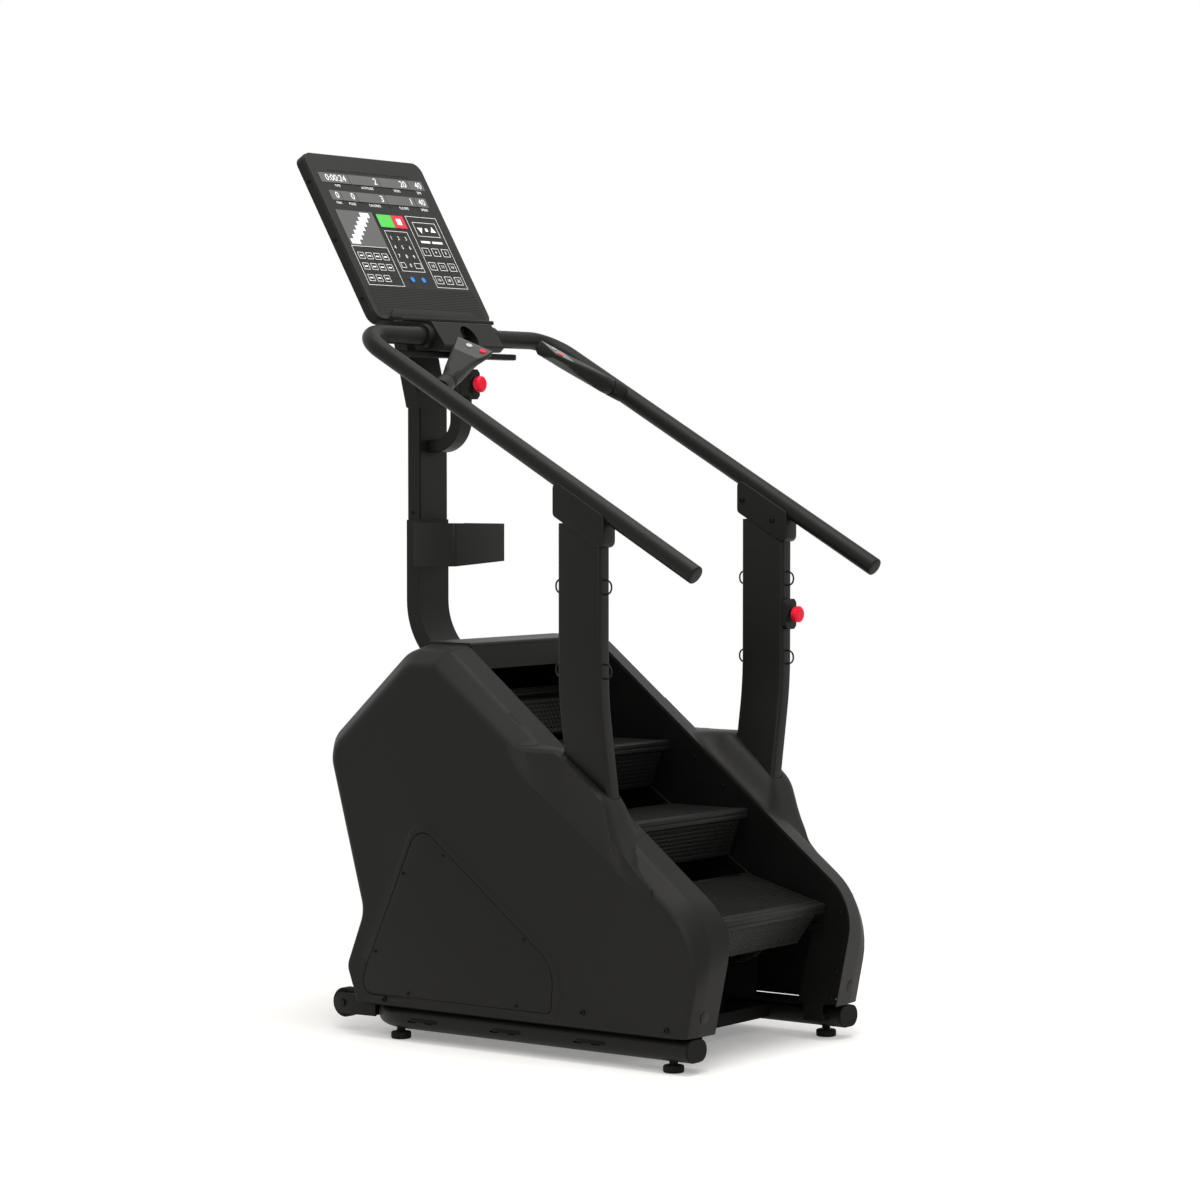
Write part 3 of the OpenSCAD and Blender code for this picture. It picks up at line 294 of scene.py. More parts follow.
plan = [
    (paint, "frame_paint", {
        0.5: "band_loops", 0.8: "accessory_holder", 1.0: "wheel_brackets",
        1.5: "base_frame controller_box post_left post_right", 3.0: "console_support",
        4.0: "post_collars mast_lower mast_upper"}),
    # Side frames and cross beams sit inside the stairwell; their darker plate finish paints the
    # shade that falls there.
    (plate, "frame_paint", {0.6: "side_frame_left side_frame_right", 1.5: "cross_beams"}),
    (dull, "rubber", {
        0.4: "drive_belt", 1.0: "levelling_feet", 1.5: "base_end_caps wheel_left wheel_right",
        2.0: "rail_end_caps"}),
    (grip, "rubber", {0.0: "handrail_left handrail_right"}),
    (steel, "machined_steel", {
        0.4: "drive_sprockets upper_sprockets", 0.5: "drive_shaft stub_axles motor_pulley",
        0.6: "step_chains"}),
    (screw, "machined_steel", {0.4: "fasteners"}),
    (alloy, "motor_alloy", {0.5: "drive_pulley", 1.0: "shaft_bearings", 1.5: "drive_motor"}),
    (shell, "cover_plastic", {
        1.5: "access_panel_left access_panel_right control_pod_left control_pod_right",
        2.0: "stop_boxes",
        3.0: "top_cap front_cover console_housing neck_block console_shelf",
        5.0: "side_cover_left side_cover_right"}),
    (dull, "cover_plastic", {0.3: "fan_wheel"}),
    (tread, "step_plastic", {0.5: "step_1 step_2 step_3 step_4 step_5 step_6 step_7"}),
    (keycap, "key_plastic", {0.8: "power_inlet"}),
    (pale, "key_plastic", {0.4: "pod_key_left_1 pod_key_right_1"}),
    (signal, "red_plastic", {
        0.4: "pod_key_left_2 pod_key_right_2", 2.0: "stop_head_front stop_head_rear"}),
    (glass, "screen", {1.2: "console_face"}),
]
for material, slot, widths in plan:
    for width, names in widths.items():
        for node in names.split():
            dress(node, material, width)
    print("dressed in", material.name, "for", slot)

# %% [markdown]
# ## Hand tools
# The new pieces are modelled as by hand: add a primitive, shape it in edit mode, finish it with
# modifiers. Short helpers keep the selection clean, because an operator acts on all of it.

# %% Selecting, editing and placing
def clear_selection():
    if bpy.context.mode != "OBJECT":
        bpy.ops.object.mode_set(mode="OBJECT")
    bpy.ops.object.select_all(action="DESELECT")


def only(piece):
    clear_selection()
    piece.select_set(True)
    bpy.context.view_layer.objects.active = piece


def settle():
    bpy.ops.object.transform_apply(location=True, rotation=True, scale=True)


def moved(piece, matrix):
    only(piece)
    piece.matrix_world = matrix
    settle()
    return piece


def fresh(name, scale=(1, 1, 1)):
    piece = bpy.context.object
    piece.name = name
    piece.scale = scale
    settle()
    return piece


def edit():
    bpy.ops.object.mode_set(mode="EDIT")
    bpy.ops.mesh.select_all(action="SELECT")


def leave():
    bpy.ops.object.mode_set(mode="OBJECT")


def pick(piece, kind, rule):
    only(piece)
    bpy.ops.object.mode_set(mode="EDIT")
    bpy.ops.mesh.select_mode(type=kind)
    bpy.ops.mesh.select_all(action="DESELECT")
    leave()
    for item in piece.data.polygons if kind == "FACE" else piece.data.vertices:
        item.select = rule(item)
    bpy.ops.object.mode_set(mode="EDIT")


def leave_facing_out():
    bpy.ops.mesh.select_all(action="SELECT")
    bpy.ops.mesh.normals_make_consistent(inside=False)
    leave()


print("selection helpers ready")

# %% Starting a piece
def block(name, low, high, ruler=at):
    clear_selection()
    low, high = ruler(*low), ruler(*high)
    bpy.ops.mesh.primitive_cube_add(size=1, location=(low + high) / 2)
    return fresh(name, high - low)


def cylinder(name, r, deep, place, turn=(0, 0, 0), sides=24):
    clear_selection()
    bpy.ops.mesh.primitive_cylinder_add(
        vertices=sides, radius=r / 1000, depth=deep / 1000, location=place, rotation=turn)
    return fresh(name)


def disc(name, r, z0, z1, sides=48):
    return cylinder(name, r, z1 - z0, mm(0, 0, (z0 + z1) / 2), sides=sides)


def drag(way):
    bpy.ops.mesh.extrude_region_move(TRANSFORM_OT_translate={"value": way})


def profile(name, points, x0, x1, ruler=at):
    clear_selection()
    bpy.ops.mesh.primitive_plane_add(size=0.002, location=(0, 0, 0))
    piece = fresh(name)
    edit()
    bpy.ops.mesh.select_mode(type="VERT")
    bpy.ops.mesh.merge(type="CENTER")
    corners = [ruler(x0, *p) for p in points]
    bpy.ops.transform.translate(value=corners[0])
    for a, b in zip(corners, corners[1:]):
        drag(b - a)
    bpy.ops.mesh.select_all(action="SELECT")
    bpy.ops.mesh.edge_face_add()
    drag(mm(x1 - x0, 0, 0))
    leave_facing_out()
    return piece


print("primitives ready")

# %% Rounding corners, softening edges, joining and handing over
def corner_arc(back, here, on, steps):
    r, here = here[2], Vector(here[:2])
    if r <= 0:
        return [here]
    a, b = (Vector(back[:2]) - here).normalized(), (Vector(on[:2]) - here).normalized()
    half = a.angle(b) / 2
    reach = r / math.tan(half)
    centre = here + (a + b).normalized() * r / math.sin(half)
    start, end = ((here + way * reach - centre).normalized() for way in (a, b))
    return [centre + start.slerp(end, k / steps) * r for k in range(steps + 1)]


def arcs(corners, steps):
    around = zip(corners[-1:] + corners[:-1], corners, corners[1:] + corners[:1])
    return [corner_arc(back, here, on, steps) for back, here, on in around]


def rounded(corners, steps):
    return [tuple(p) for arc in arcs(corners, steps) for p in arc]


def smooth_below(piece, degrees):
    only(piece)
    bpy.ops.object.shade_smooth_by_angle(angle=math.radians(degrees))


def bake_in(piece, modifier):
    only(piece)
    bpy.ops.object.modifier_apply(modifier=modifier.name)


def soften(piece, width, segments=2, angle=SHARP):
    bake_in(piece, bevel(piece, width, segments, angle))
    smooth_below(piece, 40)
    return piece


def joined(name, pieces):
    clear_selection()
    for piece in pieces:
        piece.select_set(True)
    bpy.context.view_layer.objects.active = pieces[0]
    bpy.ops.object.join()
    bpy.context.object.name = name
    return bpy.context.object


def placed_copy(piece, name, move):
    only(piece)
    bpy.ops.object.duplicate(linked=False)
    bpy.context.object.name = name
    return moved(bpy.context.object, move)


def mirrored(piece, name):
    twin = placed_copy(piece, name, Matrix.Scale(-1, 4, (1, 0, 0)))
    edit()
    leave_facing_out()
    return twin


def hand_over(piece, body, slot, *solids):
    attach(piece, body)
    if solids:
        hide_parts(*solids)
    print("made", piece.name, "with", len(piece.data.polygons), "faces")


def assemble(name, parts, material, slot, *solids):
    hand_over(coat(joined(name, parts), material), "frame", slot, *solids)


print("hand tools ready")

# %% [markdown]
# Long bent mouldings are lofts: a flat grid is the start, and each of its rows is pulled onto
# one section of the piece, as if an outline were extruded again and again.

# %% Pulling a grid into a loft
def loft(name, rows, closed=False, caps=False):
    clear_selection()
    if closed:
        rows = [list(row) + [row[0]] for row in rows]
    across = len(rows[0])
    bpy.ops.mesh.primitive_grid_add(
        x_subdivisions=across - 1, y_subdivisions=len(rows) - 1, size=1)
    piece = fresh(name)
    for i, vertex in enumerate(piece.data.vertices):
        vertex.co = rows[i // across][i % across]
    edit()
    bpy.ops.mesh.remove_doubles(threshold=0.00001)
    if caps:
        bpy.ops.mesh.select_all(action="DESELECT")
        bpy.ops.mesh.select_mode(type="EDGE")
        bpy.ops.mesh.select_non_manifold()
        bpy.ops.mesh.edge_face_add()
    leave_facing_out()
    return piece


def tube(name, rows):
    return loft(name, rows, closed=True, caps=True)


def ring_box(wide, deep, r, steps):
    quarters = ((-1, -1), (1, -1), (1, 1), (-1, 1))
    return rounded([(i * wide / 2, j * deep / 2, r) for i, j in quarters], steps)


def spin(sides):
    return [math.tau * k / sides for k in range(sides)]


def smooth(t):
    t = max(0.0, min(1.0, t))
    return t * t * (3 - 2 * t)


def curve_through(points, t):
    for (a, u), (b, v) in zip(points, points[1:]):
        if t <= b:
            return u + (v - u) * (max(t, a) - a) / (b - a)
    return points[-1][1]


print("loft helpers ready")

# %% [markdown]
# ## The steps
# Each step is one moulding: a tread with rows of raised pads, a thick grooved nosing, and a riser
# that slopes away under the nose and is covered with studs. A side profile gives the tread,
# and a grid whose faces are inset one by one gives the pads and the studs in one stroke.

# %% Tread, nosing and riser
NOSE = [
    (3, 0), (14, 0), (14.6, -1.2), (17.4, -1.2), (18, 0), (31, 0), (32, -1.4), (215, -1.4),
    (215, -18), (28, -18), (24, -23), (3, -23), (0.7, -21), (0.4, -14.4), (2.2, -13),
    (2.2, -10.6), (0.4, -9.4), (0.7, -2)]
NOSE_END = 0.0315  # metres from the front of the step to the end of its smooth nosing
ROD = (225, -8)
RISER_LEAN = 110.45


def pad_grid(name, wide, deep, across, along, gap, height):
    clear_selection()
    bpy.ops.mesh.primitive_grid_add(x_subdivisions=across, y_subdivisions=along, size=1)
    piece = fresh(name, (wide / 1000, deep / 1000, 1))
    edit()
    bpy.ops.mesh.inset(thickness=gap / 1000, depth=height / 1000, use_individual=True)
    leave()
    return piece


def laid(piece, degrees, y, z):
    return moved(piece, turned(mm(0, y, z), degrees, "X"))


def make_step(name, folded):
    slab = soften(profile("tread slab", NOSE, -218, 218, mm), 0.5)
    pads = laid(pad_grid("tread pads", 424, 178, 13, 14, 2.4, 1.3), 0, 123, -1.35)
    if folded:
        shape = [(10, -22), (10, -33), (109, -33), (109, -25), (22, -25), (22, -22)]
        riser = soften(profile("folded riser", shape, -212, 212, mm), 0.8)
        studs = [laid(pad_grid("riser studs", 404, 88, 30, 8, 2.6, 1.1), 180, 61, -32.8)]
    else:
        shape = [(14, -22), (46.8, -110), (54.8, -110), (26, -22)]
        riser = soften(profile("riser", shape, -214, 214, mm), 0.8)
        studs = [laid(pad_grid("riser studs", 420, 62, 30, 6, 2.6, 1.2), RISER_LEAN, 31.0, -67.6)]
        for y, z in ((18.0, -32.7), (44.0, -102.5)):
            teeth = pad_grid("riser teeth", 420, 11, 44, 1, 2.0, 1.4)
            studs.append(laid(teeth, RISER_LEAN, y, z))
    lugs = [block("lug", (x - 12, 203, -18), (x + 12, 225, -1.6), mm) for x in (-198, 0, 198)]
    rod = cylinder("rod", 6, 436, mm(0, *ROD), (0, math.pi / 2, 0))
    coat(soften(rod, 0.6), steel)
    for piece in [slab, pads, riser] + lugs:
        coat(piece, tread)
    for piece in studs:
        coat(piece, nosing)
    slab.data.materials.append(nosing)
    for face in slab.data.polygons:
        face.material_index = 1 if face.center.y < NOSE_END else 0
    return joined(name, [slab, pads, riser] + studs + lugs + [rod])


open_step = make_step("open step", False)
folded_step = make_step("folded step", True)
print("step faces:", len(open_step.data.polygons), len(folded_step.data.polygons))

# %% [markdown]
# The steps hang on their rods. Two lie level on the flight, the lowest dips its nose, the highest
# tips up round the sprocket, and three return upside down with their risers folded flat.

# %% Seven copies along the chain
steps = [
    ("step_1", "low_step", open_step, (166, 365), 15.0),
    ("step_2", "flight", open_step, (386, 511), 0.0),
    ("step_3", "flight", open_step, (606, 657), 0.0),
    ("step_4", "high_step", open_step, (810.6, 618.4), -46.8),
    ("step_5", "return_steps", folded_step, (638.4, 438.4), 213.57),
    ("step_6", "return_steps", folded_step, (418.4, 292.4), 213.57),
    ("step_7", "return_steps", folded_step, (189.6, 170.6), 197.05),
]
for node, body, model, rod_place, tilt in steps:
    hang = turned(at(0, *rod_place), tilt, "X") @ Matrix.Translation(-mm(0, *ROD))
    hand_over(placed_copy(model, node + "_moulding", hang), body, "step_plastic", node)
for model in (open_step, folded_step):
    bpy.data.objects.remove(model)

# %% [markdown]
# ## The console's printed face
# The face is a dark overlay with grey windows, white outlines and bright start and stop keys.
# Everything is laid out flat in the console's own plane and then leaned back with it.

# %% The console's plane
LEAN = 30.3
console_plane = turned(at(0, 899.2, 1641), 90 - LEAN, "X")
window_grey = finish("display window", *greys(0.070, 0.085), 0.35, 0.4, 0.02, 800)
print_white = finish("white print", *greys(0.78, 0.84), 0.5, 0.3, 0.02, 800)
go_green = finish("green key", (0.05, 0.42, 0.05), (0.07, 0.48, 0.06), 0.4, 0.4, 0.02, 800)
halt_red = finish("red key", (0.55, 0.01, 0.03), (0.62, 0.015, 0.035), 0.4, 0.4, 0.02, 800)
mark_blue = finish("blue mark", (0.01, 0.17, 0.55), (0.015, 0.2, 0.6), 0.4, 0.4, 0.02, 800)
layers = {
    "windows": (window_grey, "screen", []), "prints": (print_white, "key_plastic", []),
    "go": (go_green, "key_plastic", []), "halt": (halt_red, "red_plastic", []),
    "marks": (mark_blue, "key_plastic", []), "ribs": (glass, "screen", []),
    "tray": (shell, "cover_plastic", []),
}


def lay(layer, piece):
    layers[layer][2].append(piece)


def tile(layer, u0, v0, u1, v1, top, bottom=0.02):
    lay(layer, block("tile", (u0, v0, bottom), (u1, v1, top), mm))


def line_frame(u0, v0, u1, v1, line=1.2, top=0.35):
    clear_selection()
    middle = mm((u0 + u1) / 2, (v0 + v1) / 2, top)
    bpy.ops.mesh.primitive_plane_add(size=1, location=middle)
    piece = fresh("line frame", ((u1 - u0) / 1000, (v1 - v0) / 1000, 1))
    edit()
    bpy.ops.mesh.inset(thickness=line / 1000)
    bpy.ops.mesh.delete(type="FACE")
    bpy.ops.mesh.select_all(action="SELECT")
    drag(mm(0, 0, -0.3))
    leave_facing_out()
    lay("prints", piece)


def key_frame(u, v, half_wide, half_high, line=1.2):
    line_frame(u - half_wide, v - half_high, u + half_wide, v + half_high, line)


def write(words, u, v, size, top=0.2):
    clear_selection()
    bpy.ops.object.text_add(location=mm(u, v, top))
    adjust(bpy.context.object.data, {
        "body": words, "size": size / 1000, "align_x": "CENTER", "align_y": "CENTER",
        "resolution_u": 3, "extrude": 0.0001})
    bpy.ops.object.convert(target="MESH")
    lay("prints", fresh("print"))


print("console plane leans", LEAN, "degrees")

# %% Windows and their numbers
WINDOW_HIGH = 26.5
STAIR = 12.6  # each tile of the climbing graph lies this much further along and up
ON_GLASS = 0.75  # digits stand proud of their window
row_1 = [(-190, -86, "0:00:24", "TIME"), (-84.5, 24, "2", "ALTITUDE"),
         (25.5, 133, "20", "STEPS"), (134.5, 190, "40", "SPM")]
row_2 = [(-180, -141.5, "0", "FAN"), (-140, -86, "0", "PULSE"), (-84.5, 21, "3", "CALORIES"),
         (22.5, 129, "1", "FLOORS"), (130.5, 175, "40", "SPEED")]
for row, low in ((row_1, 376), (row_2, 327)):
    for u0, u1, digits, label in row:
        tile("windows", u0, low, u1, low + WINDOW_HIGH, 0.6)
        write(digits, u1 - 9 - 5.5 * len(digits), low + 13, 25, ON_GLASS)
        write(label, (u0 + u1) / 2, low - 8, 9.5)
tile("windows", -188, 201, -57, 299, 0.6)
for k in range(7):
    on = STAIR * k
    tile("prints", -181 + on, 206 + on, -149 + on, 219.4 + on, 0.8, 0.5)
tile("go", -45, 259.5, 7, 295, 0.9)
tile("halt", 8, 259.5, 52.5, 295, 0.9)
tile("prints", 22, 269, 39, 286, 1.1, 0.8)
print("windows:", len(layers["windows"][2]))

# %% Keys, outlines and arrows
FINE_LINE = 1.1  # for whole fields and the smallest keys
LEVELS = (1, 4, 8, 10, 12, 14, 16, 18, 20)
line_frame(-40, 137, 44, 250, FINE_LINE)
for k, digit in enumerate("123456789"):
    write(digit, -26 + 27 * (k % 3), 230 - 25.3 * (k // 3), 14)
write("0", 1, 154.5, 14)
line_frame(-34, 147, -18, 162)
line_frame(16, 147, 40, 162)
line_frame(64, 96, 180, 297, FINE_LINE)
line_frame(81, 241, 166, 281)
for u, turn in ((100, math.pi), (147, 0)):
    lay("prints", cylinder("arrow", 11, 0.6, mm(u, 260, 0.3), (0, 0, turn), 3))
tile("prints", 119, 256, 128, 265, 0.5)
tile("prints", 82, 222, 116, 228, 0.4)
tile("prints", 124, 222, 162, 228, 0.4)
for row, v in enumerate((197, 156.5, 118)):
    for col in range(3):
        u = 84.5 + 36.5 * col
        key_frame(u, v, 13, 11)
        write(str(LEVELS[3 * row + col]), u, v, 12)
line_frame(-188, 93, -58, 200.5, FINE_LINE)
for v, count in ((174, 4), (144.5, 4), (113, 3)):
    for col in range(count):
        u = -167.5 + 28.8 * col
        key_frame(u, v, 10.5, 9, FINE_LINE)
        tile("prints", u - 5.5, v - 2, u + 5.5, v + 1.6, 0.35)
print("prints:", len(layers["prints"][2]))

# %% Marks, fine ribs and the tray's back
TRAY_LOW, TRAY_TOP = 0.6, 3.2
for u in (-17.5, 23):
    lay("marks", cylinder("mark", 7, 0.8, mm(u, 114.5, 0.4)))
for k in range(17):
    v = 14 + 4.6 * k
    tile("ribs", -196, v, 196, v + 1.6, 0.5)
tray_back = []
for half, v in ((170, 5), (142, 27)):
    ring = ((-half, TRAY_LOW), (half, TRAY_LOW), (half, TRAY_TOP), (-half, TRAY_TOP))
    tray_back.append([mm(u, v, w) for u, w in ring])
lay("tray", soften(tube("tray back", tray_back), 0.6))
print("ribs:", len(layers["ribs"][2]))

# %% Join each layer and lean it with the console
for layer, (material, slot, pieces) in layers.items():
    sheet = coat(joined("console_" + layer, pieces), material)
    hand_over(moved(sheet, console_plane), "frame", slot)

# %% [markdown]
# ## The side covers
# Each cover is a deep tray: an inner edge along the stair, a shoulder, a wide soft chamfer and
# a flat outer face. Each has its own list of corners, and a grid is pulled along all of them,
# so every row has the same points and the rim stays smooth all the way round.

# %% Four outlines of one cover
# Each corner is y, z and its radius.
EDGE = [(-66, 80, 0), (-116, 318, 130), (613, 898, 18), (737, 898, 80), (982, 672, 60),
        (862, 272, 70), (901, 160, 45), (868, 80, 0)]
SHOULDER = [(-62.9, 80, 0), (-111.1, 314.2, 165), (616.5, 888, 24), (730.2, 888, 80),
            (970.7, 668.8, 62), (856.6, 275.1, 72), (897.8, 160.1, 42), (864.8, 80, 0)]
FACE = [(-57.8, 80, 0), (-99.7, 287.7, 190), (638.4, 852, 22), (713.4, 852, 60),
        (938.5, 649.3, 62), (840, 290.1, 80), (890.3, 160, 38), (859.4, 80, 0)]
FIELD = [(-28, 80, 0), (-66, 272, 170), (640, 816, 18), (698, 816, 40), (900, 634, 50),
         (806, 290, 90), (874, 158, 30), (847, 80, 0)]
RUNS = [5, 30, 3, 8, 8, 3, 2]  # points along the straight runs between the corners
ARC = 9  # parts of each rounded corner


def outline(corners):
    points = []
    for i, arc in enumerate(arcs(corners, ARC)):
        if points:
            last, parts = points[-1], RUNS[i - 1] + 1
            points += [last.lerp(arc[0], k / parts) for k in range(1, parts)]
        points += arc
    return points


outlines = [outline(corners) for corners in (EDGE, SHOULDER, FACE, FIELD)]
print("points in each outline:", [len(points) for points in outlines])

# %% [markdown]
# The corners of the section are eased with short curves. The access panel's seam and the soft
# step around it are rings too, and a fill closes the flat field between.

# %% Tray with a soft rim
def eased(before, corner, after, start, end, parts):
    a, b = corner.lerp(before, start), corner.lerp(after, end)
    ways = [k / parts for k in range(parts + 1)]
    return [a.lerp(corner, t).lerp(corner.lerp(b, t), t) for t in ways]


columns = []
for spots in zip(*outlines):
    reach = (EDGE_X, SHOULDER_X, FACE_X, FACE_X)
    p0, p1, p2, p3 = (at(-x, *p) for x, p in zip(reach, spots))
    columns.append([p0, p0.lerp(p1, 0.4)] + eased(p0, p1, p2, 0.14, 0.14, 5)
                   + eased(p1, p2, p3, 0.28, 0.4, 8) + [p3])
rows = [list(row) for row in zip(*columns)]
tray = loft("cover tray", rows)

PANEL = [(674, 500, 40), (292, 208, 90), (300, 103, 16), (844, 103, 26), (826, 168, 60)]
PANEL_MIDDLE = Vector((560, 230))
STEP_RINGS = [(27, FACE_X), (24, 342.3), (18, 345.1), (15, 345.4), (2.2, 345.4), (1.2, 344.4),
              (1.2, 337)]  # how far outside the panel's edge, and how far out
panel_edge = [Vector(p) for p in rounded(PANEL, ARC)]


def grown(p, by):
    narrow = max(0.12, min(1.0, (800 - p.x) / 130))  # the step runs out towards the toe
    return p + (p - PANEL_MIDDLE).normalized() * by * narrow


step_rings = [[at(-x, *grown(p, by)) for p in panel_edge] for by, x in STEP_RINGS]
step = loft("panel step", step_rings, closed=True)
print("tray and panel step:", len(tray.data.polygons), len(step.data.polygons))

# %% Fill the flat field
def pick_near(piece, points, reach=0.00005):
    pick(piece, "VERT", lambda vertex: any((vertex.co - p).length < reach for p in points))


def face_left(piece):
    flat = max(piece.data.polygons, key=lambda p: abs(p.normal.x) * p.area)
    if flat.normal.x > 0:
        only(piece)
        edit()
        bpy.ops.mesh.flip_normals()
        leave()


cover = joined("cover_left_shell", [tray, step])
pick_near(cover, [rows[-1][0], rows[-1][-1]])
bpy.ops.mesh.edge_face_add()
pick_near(cover, rows[-1] + step_rings[0])
bpy.ops.mesh.select_mode(type="EDGE")
bpy.ops.mesh.fill(use_beauty=True)
leave_facing_out()
face_left(cover)
print("cover faces:", len(cover.data.polygons))

# %% [markdown]
# Round the foot of the post the cover swells into a saddle, a patch of its own. At every station
# along the stair the tray's section is lifted to the saddle's top line and pushed outwards.
# Where the lift fades out, the patch dips just under the tray, so no seam shows.

# %% The saddle's section at one station
TOP = [(30, 392), (78, 438), (100, 476), (116, 506), (126, 536), (134, 566), (142, 581),
       (150, 592), (252, 676), (264, 683), (276, 686), (450, 686)]
DROP = 10  # the strip falls this much from the edge to the shoulder
INSET, DIP = 1.0, 1.2  # how far the patch lies inside and below the tray
BULGE = 24  # the most that the saddle stands out from the face
SKIRT = 34  # how far it reaches down the face


def strip_z(x, y):
    high = 410.3 + 0.7956 * y
    rim = 45 + 0.043 * (y + 116)
    if x < SHOULDER_X:
        return high - DROP * (x - EDGE_X) / (SHOULDER_X - EDGE_X)
    return high - DROP - (rim - DROP) * (x - SHOULDER_X) / (FACE_X - SHOULDER_X)


def saddle_row(y):
    top = sum(curve_through(TOP, y + d) for d in (-6, -3, 0, 3, 6)) / 5
    swell = smooth((top - strip_z(FACE_X, y)) / 62)
    points = []
    for k in range(9):
        x = EDGE_X + k * 7.5
        lift = max(0.0, top - strip_z(x, y)) * smooth((x - 243) / 56)
        points.append((x + 1.5 * swell - INSET, strip_z(x, y) - DIP + lift))
    for k in range(1, 7):
        x = SHOULDER_X + k * 7.0
        low = strip_z(x, y)
        wide = x + BULGE * swell * k / 6
        crest = low - DIP
        if top > low:
            crest = max(crest, top - 9 * smooth((wide - 352) / 14) * swell)
        points.append((wide - INSET, crest))
    foot = strip_z(FACE_X, y) - SKIRT
    for k in range(1, 11):
        t = k / 10
        out = BULGE * swell * (1 - t) ** 1.25
        points.append((FACE_X - INSET + out, crest + (foot - crest) * t))
    return [at(-x, y, z) for x, z in points]


print("the saddle's top line has", len(TOP), "points")

# %% Saddle round the post
STATIONS = ((30, 6, 12), (99, 3, 22), (168, 9, 9), (246, 4, 10), (290, 8, 21))
stations = [start + k * gap for start, gap, count in STATIONS for k in range(count)]
saddle = loft("saddle", [saddle_row(y) for y in stations])
face_left(saddle)


def thicken(piece, wall):
    bake_in(piece, modify(piece, "wall", "SOLIDIFY", thickness=wall / 1000, offset=-1))


def carve(piece, cutter):
    bake_in(piece, modify(piece, "cut", "BOOLEAN", object=cutter, solver="EXACT"))
    bpy.data.objects.remove(cutter)


POST_LEAN = 10  # degrees below the knee
KNEE_Z = 800
thicken(cover, 3.5)
thicken(saddle, 3.0)
knee = turned(at(-POST_X, POST_Y, KNEE_Z), -POST_LEAN, "Y")
slot_ring = ring_box(45, 118, 12, 5)
carve(saddle, tube("post slot", [[knee @ mm(x, y, z) for x, y in slot_ring] for z in (-330, -40)]))
print("saddle faces:", len(saddle.data.polygons))

# %% [markdown]
# A bevelled disc plugs the mould's rear fixing point. The finished cover is mirrored
# for the other side, and its faces are turned outwards again.

# %% Plug, finish and the second cover
def pair(piece, twin_name, slot, solid, twin_solid):
    twin = mirrored(piece, twin_name)
    hand_over(piece, "frame", slot, solid)
    hand_over(twin, "frame", slot, twin_solid)


back_turn = Vector((0, -1, -0.2)).to_track_quat("Z", "Y").to_euler()
plug = cylinder("rear plug", 15, 6, at(-288, -70.5, 123), back_turn, 40)
left_cover = coat(joined("cover_left_shell", [cover, saddle, soften(plug, 2.0, 3)]), shell)
smooth_below(left_cover, 38)
pair(left_cover, "cover_right_shell", "cover_plastic", "side_cover_left", "side_cover_right")

# %% [markdown]
# ## The access panels
# The panel is a thin plate that drops into the opening, level with the step around it.
# Its bevelled rim leaves the fine shadow line that shows where it can be lifted out.

# %% Panels
panel = tube("panel_left_plate", [[at(-x, *p) for p in panel_edge] for x in (338.5, 345.2)])
coat(soften(panel, 1.4, 3, 50), shell)
pair(panel, "panel_right_plate", "cover_plastic", "access_panel_left", "access_panel_right")

# %% [markdown]
# ## The posts
# Each post is a flat oval tube that bends inwards below the knee to pass through the saddle.
# A bend pressed into a tube has no crease, so its centre line turns over 120 mm.

# %% Two bent posts
HALF_BEND = 60


def post_centre(z):
    drop = z - KNEE_Z
    fall = math.tan(math.radians(POST_LEAN))
    if drop > HALF_BEND:
        return POST_X
    if drop < -HALF_BEND:
        return POST_X + fall * drop
    return POST_X - fall * (HALF_BEND - drop) ** 2 / (4 * HALF_BEND)


post_ring = ring_box(41, 114, 9, 6)
levels = [470, 600, 735] + [745 + 10 * k for k in range(12)] + [900, 1000, 1100, 1179]
post = tube("post_left_tube", [
    [at(x - post_centre(z), POST_Y + y, z) for x, y in post_ring] for z in levels])
coat(soften(post, 1.0, 2, 50), paint)
pair(post, "post_right_tube", "frame_paint", "post_left", "post_right")

# %% [markdown]
# ## Screws
# The fixings are button-head screws. One is modelled a metre wide: a low cylinder whose end is
# inset three times, up for the crown, flat, and down for the socket. The rest are small copies.

# %% One button-head screw
def screw_model():
    piece = cylinder("screw model", 500, 300, (0, 0, 0.15))
    pick(piece, "FACE", lambda polygon: polygon.normal.z > 0.9)
    bpy.ops.mesh.inset(thickness=0.12, depth=0.08)
    bpy.ops.mesh.inset(thickness=0.10)
    bpy.ops.mesh.inset(thickness=0.01, depth=-0.2)
    leave()
    return piece


def facing(place, axis, size):
    turn = Vector(axis).to_track_quat("Z", "Y").to_matrix().to_4x4()
    return Matrix.Translation(place) @ turn @ Matrix.Scale(size / 1000, 4)


# x, the way it faces, head size and the places of each kind: cover, panel, collar, frame
FIXINGS = [
    (FACE_X, 1, 12, ((777, 91), (214, 114), (-10, 96))),
    (345.1, 1, 7, ((718, 384), (602, 432), (373, 261), (800, 200), (704, 112), (395, 112))),
    (330.9, -1, 12, ((256, 1222), (172, 1176))),
    (235.9, -1, 9, ((-70, 163), (-14, 99), (-55, 100), (-80, 296), (-17, 264), (324, 628),
                    (242, 565))),
]
CONSOLE_HIGH = 458
model = screw_model()
spots = []
for side in SIDES:
    for x, out, size, places in FIXINGS:
        spots += [(at(side * x, y, z), (side * out, 0, 0), size) for y, z in places]
    for part in (0.14, 0.49, 0.84):
        place = console_plane @ mm(side * 215, part * CONSOLE_HIGH, -17)
        spots.append((place, console_plane.to_3x3() @ Vector((side, 0, 0)), 8))
screws = [placed_copy(model, "screw", facing(*spot)) for spot in spots]
bpy.data.objects.remove(model)
screws = coat(joined("button_head_screws", screws), screw)
smooth_below(screws, 40)
hand_over(screws, "frame", "machined_steel", "fasteners")

